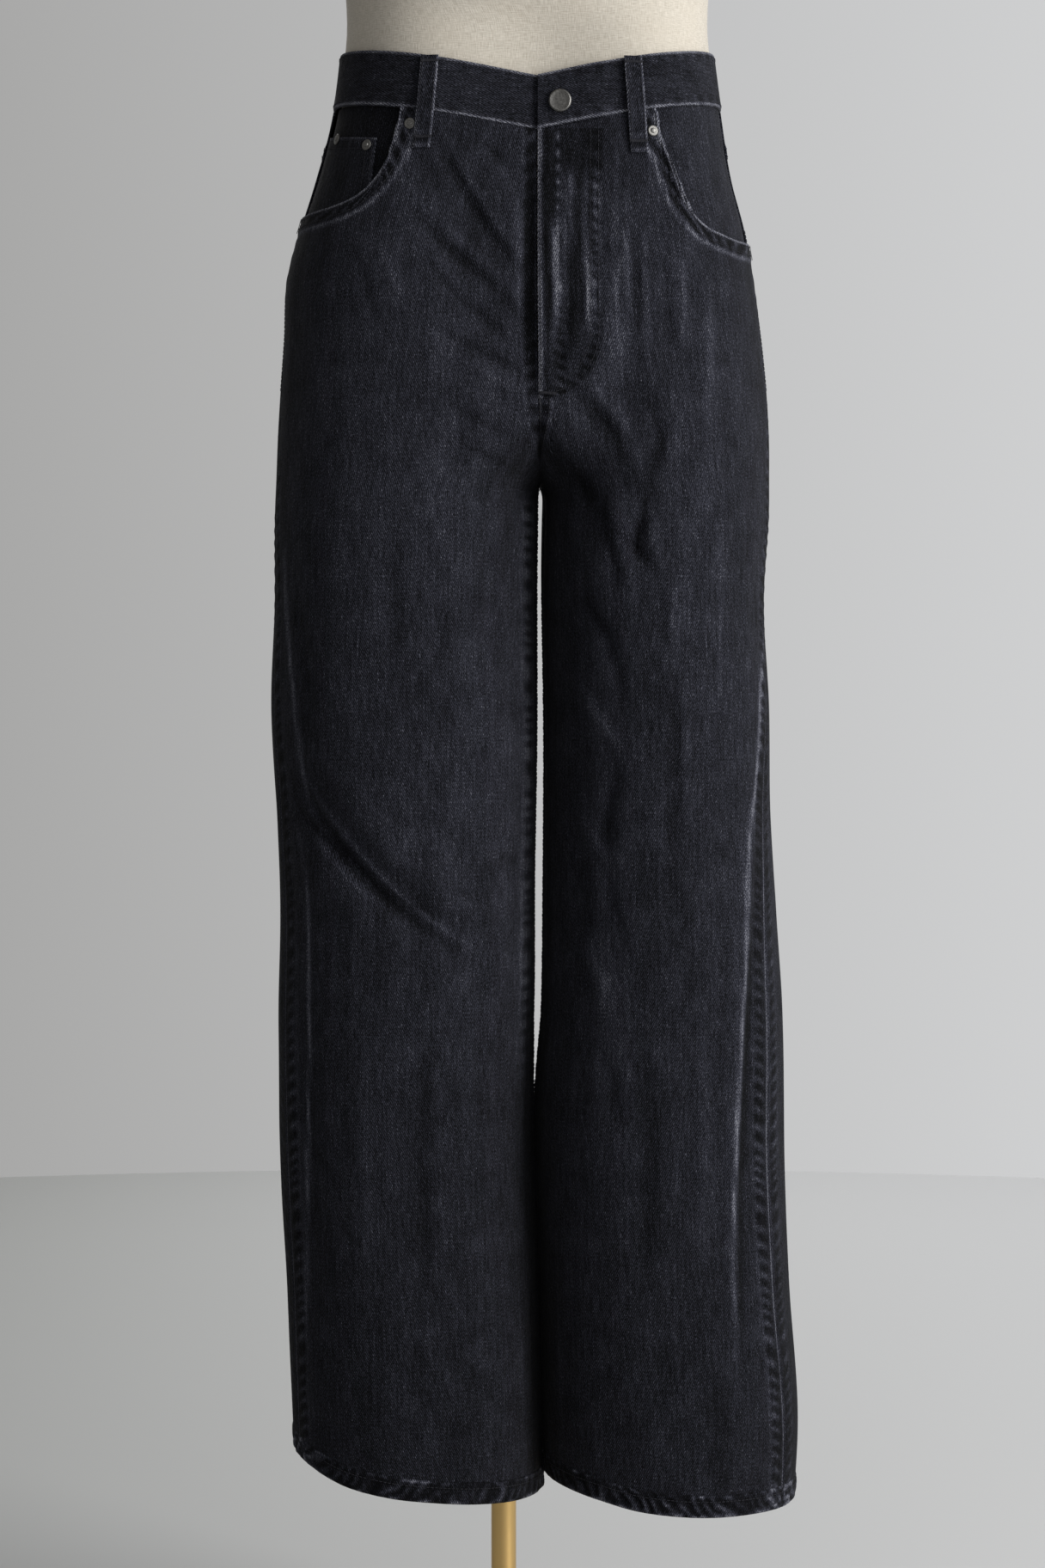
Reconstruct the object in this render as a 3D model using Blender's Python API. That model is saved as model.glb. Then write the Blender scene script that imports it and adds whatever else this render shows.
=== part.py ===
"""Wide leg jeans on a limbless dress form with a pole and a round foot.

Metres, +Z up. The front of the jeans faces -Y and +X is the wearer's left.
The origin is the centre of the foot's underside, on the floor.

The cloth is a set of thin walls. Each leg side is described by level sections from hem to
waist, and every panel is a grid laid on that surface in two measures: the distance along
the section from the middle of the panel, and the height.
"""

import math

import bpy
import numpy as np

# ---- cloth ----
DENIM = 0.0013
SEAM_GAP = 0.0003
LAYER_GAP = 0.0007
FLY_GAP = 0.0009
STEP = 0.002  # reach of the differences that give the surface its normal
SECTION_POWER = 0.89  # under 1 makes the level sections fuller than an ellipse

# ---- heights of the cut ----
CROTCH_Z = 0.952
FLY_BOTTOM_Z = 1.012
SEAT_SEAM_TOP_Z = 1.075
INSEAM_Y = 0.002
CENTRE_FRONT_DIP = 0.004
CENTRE_BACK_DIP = 0.008
BACK_SHIFT = 0.015  # how far the centre back lies towards the wearer's right
CREASE_FADE_Z = 1.185  # folds die out from here up to the waistband
WAIST_FRONT_Z = 1.208
WAIST_SIDE_Z = 1.234
WAIST_BACK_Z = 1.246
YOKE_SIDE_DROP = 0.035
YOKE_CENTRE_DROP = 0.075

# ---- made-up pieces ----
HEM_HEIGHT = 0.017
HEM_REFERENCE_Z = 0.200  # where a column's place along the hem line is read
HEM_ROWS = ((0, 0.0001), (0.3, 0.0004), (1, 0.0002))  # share of the height, stand-out
HEM_BACK = 0.0022  # how far the hem's inner face lies behind the cloth's outer face
BAND_HEIGHT = 0.040
BAND_WALL = 0.0024
BAND_PROUD = 0.0006
LAP_LENGTH = 0.036
LAP_RAMP = 0.022
FLY_WIDTH = 0.048
FLY_CURVE = 0.050
FLY_LAP = 0.004  # how far the flap runs on below the bottom of the fly
FLY_ROWS = 11
ZIP_WIDTH = 0.024
ZIP_WALL = 0.0012
FACING_TUCK = 0.0025  # how far a facing runs past the side seam
FACING_LAP = {"waist": 0.014, "below_waist": 0.006, "below_side": 0.022}
FACING_GRID = (14, 8)
COIN_POCKET = {"low_z": 1.147, "top_z": 1.2035, "top_rise": 0.0105, "inner_x": -0.1015,
               "inner_lean": 0.006, "outer_gap": 0.002}
COIN_GRID = 8
BACK_POCKET = {"width": 0.140, "height": 0.150, "point": 0.022, "taper": 0.014,
               "top_z": 1.108, "across": 0.006}
BACK_POCKET_GRID = 9
LOOP_WIDTH = 0.013
LOOP_WALL = 0.0014
CENTRE_BACK_LOOP = "belt_loop_4"
RIVET_RADIUS = 0.0042
STUD_SEAT = 0.0005  # clearance under a rivet or the button
BUTTON_RADIUS = 0.0085
BUTTON_FROM_CENTRE = 0.017

# ---- stand ----
POLE_RADIUS = 0.0096
FOOT_RADIUS = 0.175
FOOT_THICKNESS = 0.008
FORM_BOTTOM_Z = 1.005
FORM_TOP_Z = 1.725
FORM_CENTRE_X = 0.018
FORM_CENTRE_Y = 0.010
FORM_POWER = 0.9
NECK_CAP = ((0.93, 0.004), (0.75, 0.000))  # share of the neck's size, drop from the top

# ---- resolution ----
QUARTER_STEPS = 28
FRONT_COLUMNS = 18
FRONT_COLUMNS_TO_POCKET = 10
BACK_COLUMNS = 13
FORM_COLUMNS = 7

SIDES = ("right", "left")
SIGN = {"right": -1, "left": 1}


class Table:
    """A short table with named columns, read by a smooth curve through its first column."""

    def __init__(self, names, rows):
        self.names = names.split()
        self.rows = np.array(rows, float)

    def at(self, place, name):
        knots = self.rows[:, 0]
        values = self.rows[:, self.names.index(name)]
        slopes = np.gradient(values, knots)
        place = np.clip(place, knots[0], knots[-1])
        low = np.clip(np.searchsorted(knots, place) - 1, 0, len(knots) - 2)
        span = knots[low + 1] - knots[low]
        t = (place - knots[low]) / span
        start = (1 + 2 * t) * (1 - t) ** 2 * values[low]
        end = t * t * (3 - 2 * t) * values[low + 1]
        bend = t * (1 - t) ** 2 * slopes[low] - t * t * (1 - t) * slopes[low + 1]
        return start + end + span * bend


SECTIONS = {
    "right": Table(
        "height outer_x front_y side_y back_y front_crest back_crest",
        [
            (0.150, -0.1580, -0.096, -0.008, 0.088, 0.50, 0.50),
            (0.230, -0.1622, -0.097, -0.008, 0.088, 0.50, 0.50),
            (0.330, -0.1663, -0.098, -0.010, 0.086, 0.50, 0.50),
            (0.430, -0.1712, -0.101, -0.012, 0.084, 0.50, 0.50),
            (0.530, -0.1726, -0.105, -0.012, 0.084, 0.50, 0.50),
            (0.630, -0.1712, -0.108, -0.010, 0.088, 0.49, 0.50),
            (0.700, -0.1738, -0.110, -0.008, 0.094, 0.49, 0.50),
            (0.780, -0.1780, -0.112, -0.004, 0.102, 0.48, 0.50),
            (0.860, -0.1752, -0.113, 0.000, 0.112, 0.48, 0.50),
            (0.930, -0.1745, -0.115, 0.002, 0.124, 0.47, 0.50),
            (1.010, -0.1706, -0.118, 0.004, 0.139, 0.45, 0.50),
            (1.060, -0.1672, -0.117, 0.004, 0.138, 0.44, 0.48),
            (1.104, -0.1650, -0.114, 0.004, 0.130, 0.43, 0.47),
            (1.144, -0.1550, -0.108, 0.004, 0.120, 0.42, 0.45),
            (1.183, -0.1425, -0.102, 0.004, 0.111, 0.41, 0.44),
            (1.230, -0.1305, -0.097, 0.004, 0.104, 0.40, 0.42),
            (1.290, -0.1225, -0.093, 0.004, 0.100, 0.40, 0.42),
        ],
    ),
    "left": Table(
        "height outer_x front_y side_y back_y front_crest back_crest",
        [
            (0.150, 0.2225, -0.098, -0.006, 0.090, 0.50, 0.50),
            (0.230, 0.2264, -0.098, -0.006, 0.090, 0.50, 0.50),
            (0.330, 0.2198, -0.099, -0.008, 0.090, 0.50, 0.50),
            (0.430, 0.2155, -0.102, -0.010, 0.090, 0.50, 0.50),
            (0.530, 0.2140, -0.106, -0.010, 0.092, 0.50, 0.50),
            (0.630, 0.2080, -0.109, -0.008, 0.098, 0.50, 0.50),
            (0.700, 0.2040, -0.112, -0.006, 0.106, 0.50, 0.50),
            (0.780, 0.2030, -0.115, -0.002, 0.114, 0.50, 0.50),
            (0.860, 0.1990, -0.117, 0.000, 0.120, 0.50, 0.50),
            (0.930, 0.2025, -0.118, 0.002, 0.128, 0.48, 0.50),
            (1.010, 0.2010, -0.119, 0.004, 0.140, 0.46, 0.50),
            (1.060, 0.1960, -0.117, 0.004, 0.138, 0.44, 0.48),
            (1.104, 0.1905, -0.114, 0.004, 0.130, 0.43, 0.47),
            (1.144, 0.1840, -0.108, 0.004, 0.120, 0.42, 0.45),
            (1.183, 0.1740, -0.102, 0.004, 0.111, 0.41, 0.44),
            (1.230, 0.1665, -0.097, 0.004, 0.104, 0.40, 0.42),
            (1.290, 0.1585, -0.093, 0.004, 0.100, 0.40, 0.42),
        ],
    ),
}

# The plane between the legs, and half the gap that is left there.
MIDDLE = Table(
    "height x half_gap",
    [
        (0.150, 0.0305, 0.0010),
        (0.350, 0.0265, 0.0010),
        (0.470, 0.0232, 0.0008),
        (0.500, 0.0240, 0.0016),
        (0.540, 0.0258, 0.0033),
        (0.650, 0.0270, 0.0034),
        (0.770, 0.0282, 0.0028),
        (0.870, 0.0274, 0.0022),
        (0.940, 0.0284, 0.0026),
        (0.952, 0.0284, 0.0002),
        (1.010, 0.0266, 0.0002),
        (1.290, 0.0256, 0.0002),
    ],
)

# How far the side seam swings to the front, measured along the cloth.
SEAM_SWING = Table(
    "height right left",
    [
        (0.150, 0.040, 0.055),
        (0.700, 0.040, 0.055),
        (0.850, 0.034, 0.040),
        (1.000, 0.018, 0.020),
        (1.120, 0.003, 0.003),
        (1.300, 0.000, 0.000),
    ],
)

# The hem's lower edge, which lifts towards the wearer's right.
HEM_LINE = {
    "right": Table("x height", [(-0.160, 0.213), (-0.147, 0.206), (-0.127, 0.197),
                                (-0.087, 0.188), (-0.050, 0.184), (0.030, 0.178)]),
    "left": Table("x height", [(0.030, 0.192), (0.068, 0.185), (0.100, 0.178),
                               (0.125, 0.175), (0.225, 0.173)]),
}

# Pocket mouths from the waist seam to the side seam, as seen from the front.
MOUTHS = {
    "right": [(-0.0758, 1.2165), (-0.0800, 1.1990), (-0.0854, 1.1872), (-0.0924, 1.1748),
              (-0.1008, 1.1655), (-0.1125, 1.1582), (-0.1257, 1.1540), (-0.1391, 1.1520)],
    "left": [(0.1135, 1.2160), (0.1150, 1.2035), (0.1226, 1.1897), (0.1283, 1.1725),
             (0.1340, 1.1571), (0.1430, 1.1440), (0.1539, 1.1358), (0.1649, 1.1319)],
}
MOUTH_END_Z = {"right": 1.152, "left": 1.132}

# Folds of the cloth as seen from the front or the back: half width, depth (a valley is
# positive, a ridge negative) and the points of its path as (x, height).
CREASES = [
    # name, face, half_width, depth, path
    ("knee_valley", "front", 0.016, 0.0065,
     [(-0.154, 0.747), (-0.141, 0.704), (-0.117, 0.670), (-0.088, 0.642), (-0.056, 0.615),
      (-0.021, 0.586)]),
    ("knee_upper_ridge", "front", 0.014, -0.0030,
     [(-0.123, 0.725), (-0.100, 0.694), (-0.067, 0.661), (-0.034, 0.634), (0.000, 0.607)]),
    ("knee_lower_ridge", "front", 0.014, -0.0025,
     [(-0.145, 0.673), (-0.117, 0.642), (-0.085, 0.613), (-0.050, 0.586)]),
    ("knee_inner", "front", 0.010, 0.0030, [(-0.045, 0.645), (-0.010, 0.655), (0.018, 0.664)]),
    ("drag_long", "front", 0.012, 0.0035,
     [(-0.048, 1.195), (-0.020, 1.140), (0.004, 1.092), (0.018, 1.045)]),
    ("drag_low", "front", 0.013, 0.0030,
     [(-0.054, 1.170), (-0.030, 1.110), (-0.008, 1.060), (0.010, 1.022)]),
    ("drag_high", "front", 0.009, 0.0020, [(-0.012, 1.208), (0.004, 1.190), (0.018, 1.172)]),
    ("left_inner_valley", "front", 0.018, 0.0060,
     [(0.036, 0.955), (0.052, 0.915), (0.061, 0.880), (0.062, 0.780), (0.060, 0.650),
      (0.064, 0.500), (0.078, 0.380)]),
    ("left_hip_ridge", "front", 0.012, -0.0030, [(0.076, 1.100), (0.072, 1.030), (0.048, 0.985)]),
    ("left_hip_valley", "front", 0.011, 0.0035,
     [(0.089, 1.060), (0.094, 0.980), (0.100, 0.900), (0.113, 0.850)]),
    ("left_crotch_valley", "front", 0.011, 0.0035, [(0.074, 1.010), (0.066, 0.950), (0.062, 0.915)]),
    ("left_hip_soft", "front", 0.014, 0.0020, [(0.104, 1.180), (0.110, 1.110), (0.112, 1.030)]),
    ("left_side_soft", "front", 0.012, 0.0020, [(0.136, 1.120), (0.133, 1.080), (0.130, 1.000)]),
    ("left_outer_ridge", "front", 0.014, -0.0030,
     [(0.198, 0.960), (0.190, 0.820), (0.184, 0.660), (0.177, 0.560), (0.173, 0.380)]),
    ("left_outer_valley", "front", 0.010, 0.0025, [(0.186, 0.620), (0.184, 0.480), (0.186, 0.300)]),
    ("right_lower_valley", "front", 0.020, 0.0030, [(-0.020, 0.560), (0.000, 0.450), (-0.004, 0.300)]),
    ("right_outer_valley", "front", 0.012, 0.0025, [(-0.150, 0.560), (-0.146, 0.430), (-0.140, 0.300)]),
    ("right_thigh_valley", "front", 0.016, 0.0025, [(0.000, 0.960), (-0.010, 0.880), (-0.006, 0.790)]),
    ("seat_fold_right", "back", 0.015, 0.0050, [(0.004, 0.955), (-0.040, 0.925), (-0.095, 0.915)]),
    ("seat_fold_left", "back", 0.015, 0.0050, [(0.024, 0.955), (0.070, 0.925), (0.130, 0.915)]),
    ("back_knee_right", "back", 0.015, 0.0060, [(0.010, 0.600), (-0.050, 0.640), (-0.125, 0.690)]),
    ("back_knee_right_low", "back", 0.013, 0.0035, [(0.010, 0.560), (-0.060, 0.590), (-0.130, 0.610)]),
    ("back_knee_left", "back", 0.015, 0.0055, [(0.045, 0.610), (0.110, 0.640), (0.170, 0.680)]),
    ("back_thigh_right", "back", 0.018, 0.0035, [(-0.030, 0.900), (-0.045, 0.800), (-0.040, 0.700)]),
    ("back_thigh_left", "back", 0.018, 0.0040, [(0.080, 0.900), (0.095, 0.790), (0.090, 0.690)]),
    ("back_calf_right", "back", 0.018, 0.0035, [(-0.060, 0.540), (-0.070, 0.420), (-0.060, 0.290)]),
    ("back_calf_left", "back", 0.018, 0.0035, [(0.120, 0.560), (0.130, 0.430), (0.120, 0.290)]),
]

# Upper body of the dress form.
TORSO = Table(
    "height half_width front_y back_y",
    [
        (1.310, 0.1375, -0.093, 0.100),
        (1.360, 0.1420, -0.101, 0.101),
        (1.430, 0.1560, -0.122, 0.106),
        (1.490, 0.1660, -0.116, 0.112),
        (1.550, 0.1780, -0.092, 0.110),
        (1.590, 0.1760, -0.072, 0.100),
        (1.620, 0.1400, -0.060, 0.088),
        (1.645, 0.0850, -0.052, 0.074),
        (1.670, 0.0600, -0.048, 0.064),
        (1.725, 0.0560, -0.046, 0.060),
    ],
)
TORSO_HEIGHTS = (1.31, 1.36, 1.41, 1.46, 1.51, 1.555, 1.59, 1.61, 1.63, 1.65, 1.675, 1.71)

# How far the form's hips lie inside the cloth, and how far they are drawn in at the bottom.
FORM_INSET = Table(
    "height inset shrink",
    [
        (1.005, 0.010, 0.70),
        (1.012, 0.010, 0.80),
        (1.030, 0.010, 0.89),
        (1.060, 0.010, 0.96),
        (1.100, 0.010, 1.00),
        (1.150, 0.009, 1.00),
        (1.236, 0.0066, 1.00),
        (1.250, 0.0029, 1.00),
        (1.262, 0.0029, 1.00),
        (1.290, 0.0029, 1.00),
    ],
)
FORM_HEIGHTS = (1.005, 1.012, 1.03, 1.06, 1.10, 1.15, 1.20, 1.236, 1.25, 1.27, 1.29)


def smooth(t):
    """0 to 1 with level ends."""
    t = np.clip(t, 0, 1)
    return t * t * (3 - 2 * t)


# ---------------------------------------------------------------- surface


class Section:
    """Level lines of one side, from centre front or inseam round to centre back or inseam."""

    def __init__(self, side, height):
        sign, table = SIGN[side], SECTIONS[side]
        height = np.ravel(np.asarray(height, float))
        up = height[:, None]
        outer_x, front_y, side_y, back_y, front_crest, back_crest = (
            table.at(height, name)[:, None] for name in table.names[1:]
        )
        middle_x = MIDDLE.at(height, "x")[:, None]
        gap = np.interp(height, MIDDLE.rows[:, 0], MIDDLE.rows[:, 2])[:, None]
        outer = sign * (outer_x - middle_x)
        front_at = gap + (outer - gap) * front_crest
        back_at = gap + (outer - gap) * back_crest
        start_y = self.rise(up, FLY_BOTTOM_Z, front_y + CENTRE_FRONT_DIP)
        end_y = self.rise(up, SEAT_SEAM_TOP_Z, back_y - CENTRE_BACK_DIP)
        round_front = 1 - smooth((up - FLY_BOTTOM_Z + 0.01) / 0.05)
        round_back = 1 - smooth((up - SEAT_SEAM_TOP_Z + 0.02) / 0.06)

        share = np.linspace(0, 1, QUARTER_STEPS + 1)[None, :]
        sine = np.sin(share * np.pi / 2) ** SECTION_POWER
        cosine = np.cos(share * np.pi / 2) ** SECTION_POWER
        wave = np.sin(share * np.pi / 2) ** 2
        flat_front, flat_back = 1 - round_front, 1 - round_back
        quarters = [
            (
                front_at - (front_at - gap) * (round_front * cosine + flat_front * (1 - share)),
                start_y + (front_y - start_y) * (round_front * sine + flat_front * wave),
            ),
            (front_at + (outer - front_at) * sine, side_y + (front_y - side_y) * cosine),
            (back_at + (outer - back_at) * cosine, side_y + (back_y - side_y) * sine),
            (
                back_at - (back_at - gap) * (round_back * sine + flat_back * share),
                end_y + (back_y - end_y) * (round_back * cosine + flat_back * (1 - wave)),
            ),
        ]
        out = np.concatenate([quarters[0][0]] + [q[0][:, 1:] for q in quarters[1:]], axis=1)
        y = np.concatenate([quarters[0][1]] + [q[1][:, 1:] for q in quarters[1:]], axis=1)
        shift = BACK_SHIFT * smooth((up - 0.6) / 0.35) * smooth(y / 0.12)
        self.line = np.stack([middle_x + sign * out - shift, y], axis=-1)
        lengths = np.linalg.norm(np.diff(self.line, axis=1), axis=2)
        self.run = np.concatenate([np.zeros((len(height), 1)), np.cumsum(lengths, axis=1)], axis=1)
        self.front = self.run[:, QUARTER_STEPS]
        self.back = self.run[:, 3 * QUARTER_STEPS]
        self.seam = self.run[:, 2 * QUARTER_STEPS] - SEAM_SWING.at(height, side)

    @staticmethod
    def rise(up, top, y_at_top):
        """Where the front or back rise curve is at each height above the crotch."""
        share = np.clip((top - up) / (top - CROTCH_Z), 0, 1)
        risen = INSEAM_Y + (y_at_top - INSEAM_Y) * np.sqrt(1 - share**2)
        return np.where(up > CROTCH_Z, risen, INSEAM_Y)

    def edges(self, face):
        """Distances of the panel's inner edge and of the side seam from its middle."""
        if face == "front":
            return -self.front, self.seam - self.front
        return self.back - self.run[:, -1], self.back - self.seam

    def points(self, face, across):
        along = self.front + across if face == "front" else self.back - across
        low = np.clip((self.run < along[:, None]).sum(axis=1) - 1, 0, self.run.shape[1] - 2)
        rows = np.arange(len(along))
        span = self.run[rows, low + 1] - self.run[rows, low]
        t = np.clip((along - self.run[rows, low]) / span, 0, 1)[:, None]
        return self.line[rows, low] * (1 - t) + self.line[rows, low + 1] * t


def surface(side, face, across, height):
    """Points of the smooth surface and its outward normals."""
    shape = np.shape(height)
    across, height = np.ravel(across), np.ravel(height)

    def at(q, z):
        return np.column_stack([Section(side, z).points(face, q), z])

    inner_above, _ = Section(side, height + STEP).edges(face)
    above = np.where(across < inner_above, height, height + STEP)
    turn = SIGN[side] * (1 if face == "front" else -1)
    normal = turn * np.cross(
        at(across + STEP, height) - at(across - STEP, height),
        at(across, above) - at(across, height - STEP),
    )
    normal /= np.linalg.norm(normal, axis=1, keepdims=True)
    return at(across, height).reshape(*shape, 3), normal.reshape(*shape, 3)


def crease_depth(face, points, normals):
    """How deep the folds press the cloth in at each point."""
    depth = np.zeros(points.shape[:-1])
    seen = points[..., [0, 2]]
    facing = np.clip(-normals[..., 1] if face == "front" else normals[..., 1], 0, 1) ** 0.5
    facing = facing * (1 - smooth((points[..., 2] - CREASE_FADE_Z) / 0.03))
    for _, crease_face, half_width, press, path in CREASES:
        if crease_face != face:
            continue
        path = resampled(path, np.linspace(0, 1, 25))
        away = np.linalg.norm(seen[..., None, :] - path, axis=-1)
        nearest = away.argmin(axis=-1)
        fade = np.sin(np.pi * np.clip(nearest / 24, 0.02, 0.98)) ** 0.6
        depth += press * fade * np.exp(-((away.min(axis=-1) / half_width) ** 2))
    return depth * facing


def cloth(side, face, across, height, out=0.0):
    """Points of the folded cloth's outer face, moved out by a distance."""
    points, normals = surface(side, face, across, height)
    away = out - crease_depth(face, points, normals)
    return points + normals * np.asarray(away)[..., None]


def across_at(side, face, share, height):
    """The distance from a panel's middle at a share of its width, 0 at the inner edge."""
    inner, outer = Section(side, height).edges(face)
    shape = np.shape(height)
    return (inner + np.ravel(share) * (outer - inner)).reshape(shape)


def across_of_x(side, x, height):
    """The distance from the front panel's middle of a point seen at x from the front."""
    section = Section(side, height)
    found = []
    for k, value in enumerate(np.ravel(x)):
        run = section.run[k, : 2 * QUARTER_STEPS + 1]
        seen = SIGN[side] * section.line[k, : 2 * QUARTER_STEPS + 1, 0]
        found.append(np.interp(SIGN[side] * value, seen, run) - section.front[k])
    return np.array(found)


def share_of_x(side, x):
    """The share of the front panel's width of a point on the waist seam seen at x."""
    inner, outer = Section(side, [WAIST_SIDE_Z]).edges("front")
    return float((across_of_x(side, [x], [WAIST_SIDE_Z])[0] - inner[0]) / (outer[0] - inner[0]))


def resampled(path, shares):
    """Points at shares of the length of a smooth curve through a path."""
    path = np.array(path, float)
    run = np.concatenate([[0], np.cumsum(np.linalg.norm(np.diff(path, axis=0), axis=1))])
    fine = np.linspace(0, run[-1], 12 * len(path))
    names = "run " + " ".join(f"c{k}" for k in range(path.shape[1]))
    table = Table(names, np.column_stack([run, path]))
    curve = np.column_stack([table.at(fine, f"c{k}") for k in range(path.shape[1])])
    length = np.concatenate([[0], np.cumsum(np.linalg.norm(np.diff(curve, axis=0), axis=1))])
    places = np.asarray(shares) * length[-1]
    return np.column_stack([np.interp(places, length, curve[:, k]) for k in range(path.shape[1])])


def waist_seam(face, share):
    """Height of the waist seam at a share of the panel's width, 0 at the centre."""
    if face == "front":
        climb = np.sin(np.asarray(share) * np.pi / 2)
        return WAIST_FRONT_Z + (WAIST_SIDE_Z - WAIST_FRONT_Z) * climb
    return WAIST_BACK_Z + (WAIST_SIDE_Z - WAIST_BACK_Z) * smooth(share)


def yoke_seam(share):
    drop = YOKE_CENTRE_DROP + (YOKE_SIDE_DROP - YOKE_CENTRE_DROP) * np.asarray(share)
    return waist_seam("back", share) - drop


# ---------------------------------------------------------------- meshes


def material(name, colour, roughness, metallic=0.0):
    made = bpy.data.materials.new(name)
    made.use_nodes = True
    shader = made.node_tree.nodes["Principled BSDF"]
    shader.inputs["Base Color"].default_value = (*colour, 1)
    shader.inputs["Roughness"].default_value = roughness
    shader.inputs["Metallic"].default_value = metallic
    made.diffuse_color = (*colour, 1)
    return made


def add_object(name, points, faces, finish):
    """One object from points and faces, turned to face outwards."""
    points, faces = np.asarray(points, float), np.asarray(faces)
    corners = points[faces]
    volume = np.einsum("ij,ij->i", corners[:, 0], np.cross(corners[:, 1], corners[:, 2])).sum()
    if volume < 0:
        faces = faces[:, ::-1]
    mesh = bpy.data.meshes.new(name)
    mesh.from_pydata(points.tolist(), [], faces.tolist())
    mesh.shade_smooth()
    mesh.set_sharp_from_angle(angle=math.radians(40))
    made = bpy.data.objects.new(name, mesh)
    mesh.materials.append(finish)
    bpy.context.scene.collection.objects.link(made)
    return made


def wall(name, outer, inner, finish, ring=False):
    """A closed wall between two grids of points, whose columns may run round in a ring."""
    rows, columns = outer.shape[:2]
    points = np.concatenate([outer.reshape(-1, 3), inner.reshape(-1, 3)])
    count = rows * columns
    faces = []

    def corner(r, c):
        return r * columns + c % columns

    for r in range(rows - 1):
        for c in range(columns if ring else columns - 1):
            a, b = corner(r, c), corner(r, c + 1)
            d, e = corner(r + 1, c), corner(r + 1, c + 1)
            if np.linalg.norm(points[a] - points[e]) <= np.linalg.norm(points[b] - points[d]):
                split = [(a, b, e), (a, e, d)]
            else:
                split = [(a, b, d), (b, e, d)]
            faces += split
            faces += [(z + count, y + count, x + count) for x, y, z in split]

    last, cells = rows - 1, columns if ring else columns - 1
    rim = [(corner(0, c), corner(0, c + 1)) for c in range(cells)]
    rim += [(corner(last, c + 1), corner(last, c)) for c in range(cells)]
    if not ring:
        rim += [(corner(r + 1, 0), corner(r, 0)) for r in range(rows - 1)]
        rim += [(corner(r, columns - 1), corner(r + 1, columns - 1)) for r in range(rows - 1)]
    for a, b in rim:
        faces += [(b, a, a + count), (b, a + count, b + count)]
    return add_object(name, points, faces, finish)


def cloth_wall(name, side, face, grid, finish, out=0.0, thickness=DENIM):
    """A wall on the cloth's surface from a grid of (across, height)."""
    across, height = grid
    outer = cloth(side, face, across, height, out)
    inner = cloth(side, face, across, height, out - thickness)
    return wall(name, outer, inner, finish)


def turned(name, profile, centre, axis, segments, finish):
    """A solid of revolution from (radius, distance along the axis) pairs, closed at both ends."""
    axis = np.array(axis, float) / np.linalg.norm(axis)
    helper = np.array([1.0, 0, 0]) if abs(axis[0]) < 0.9 else np.array([0, 1.0, 0])
    first = np.cross(axis, helper)
    first /= np.linalg.norm(first)
    second = np.cross(axis, first)
    angles = np.arange(segments) * 2 * np.pi / segments
    spokes = np.outer(np.cos(angles), first) + np.outer(np.sin(angles), second)
    rings = [np.array(centre) + axis * reach + spokes * radius for radius, reach in profile]
    ends = [np.array(centre) + axis * profile[0][1], np.array(centre) + axis * profile[-1][1]]
    return capped_rings(name, rings, ends, finish)


def capped_rings(name, rings, ends, finish):
    """A closed solid through a stack of rings, with a point in the middle of each end."""
    segments = len(rings[0])
    points = np.concatenate([*rings, ends])
    faces = []
    for r in range(len(rings) - 1):
        for c in range(segments):
            a, b = r * segments + c, r * segments + (c + 1) % segments
            faces += [(a, b, b + segments), (a, b + segments, a + segments)]
    low, high = len(points) - 2, len(points) - 1
    last = (len(rings) - 1) * segments
    for c in range(segments):
        after = (c + 1) % segments
        faces += [(low, after, c), (high, last + c, last + after)]
    return add_object(name, points, faces, finish)


# ---------------------------------------------------------------- panels

LOW_BLEND_Z = 0.280
LEG_HEIGHTS = np.linspace(LOW_BLEND_Z, 0.896, 20)
# Rows at the crotch: turn of the rise curve in degrees (None below it), height at the inseam,
# height at the side seam, and the angle at which the row leaves the inner edge.
CROTCH_ROWS = [
    # turn, inner_z, outer_z, leave
    (None, 0.930, 0.919, -20),
    (0, None, 0.938, -45),
    (18, None, 0.955, None),
    (36, None, 0.972, None),
    (54, None, 0.989, None),
    (72, None, 1.006, None),
    (90, None, 1.023, None),
]
UPPER_SHARES = (0.2, 0.4, 0.6, 0.8, 1.0)
ROW_LEAVE = 0.035
ROW_ARRIVE = 0.090


def hem_height(side, x):
    return HEM_LINE[side].at(x, "height")


def crotch_row(side, face, turn, inner_z, outer_z, leave, shares):
    """(across, height) of one row that fans out from the inseam or the rise curve."""
    top = FLY_BOTTOM_Z if face == "front" else SEAT_SEAM_TOP_Z
    rise = top - CROTCH_Z
    if turn is not None:
        inner_z = top - rise * math.cos(math.radians(turn))
        inner_z = max(inner_z, CROTCH_Z + 1e-5)
    inner, _ = Section(side, [inner_z]).edges(face)
    _, outer = Section(side, [outer_z]).edges(face)
    if leave is None:
        reach = abs(SECTIONS[side].at(inner_z, face + "_y") - INSEAM_Y)
        angle = math.radians(turn)
        leave = math.degrees(math.atan2(-reach * math.cos(angle), rise * math.sin(angle)))
    way = np.array([math.cos(math.radians(leave)), math.sin(math.radians(leave))])
    start = np.array([inner[0], inner_z]) + way * SEAM_GAP / 2
    end = np.array([outer[0] - SEAM_GAP / 2, outer_z])
    first, second = start + way * ROW_LEAVE, end - np.array([ROW_ARRIVE, 0])
    t = np.linspace(0, 1, 60)[:, None]
    left = 1 - t
    curve = left**3 * start + 3 * t * left**2 * first + 3 * t * t * left * second + t**3 * end
    return resampled(curve, shares)


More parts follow.
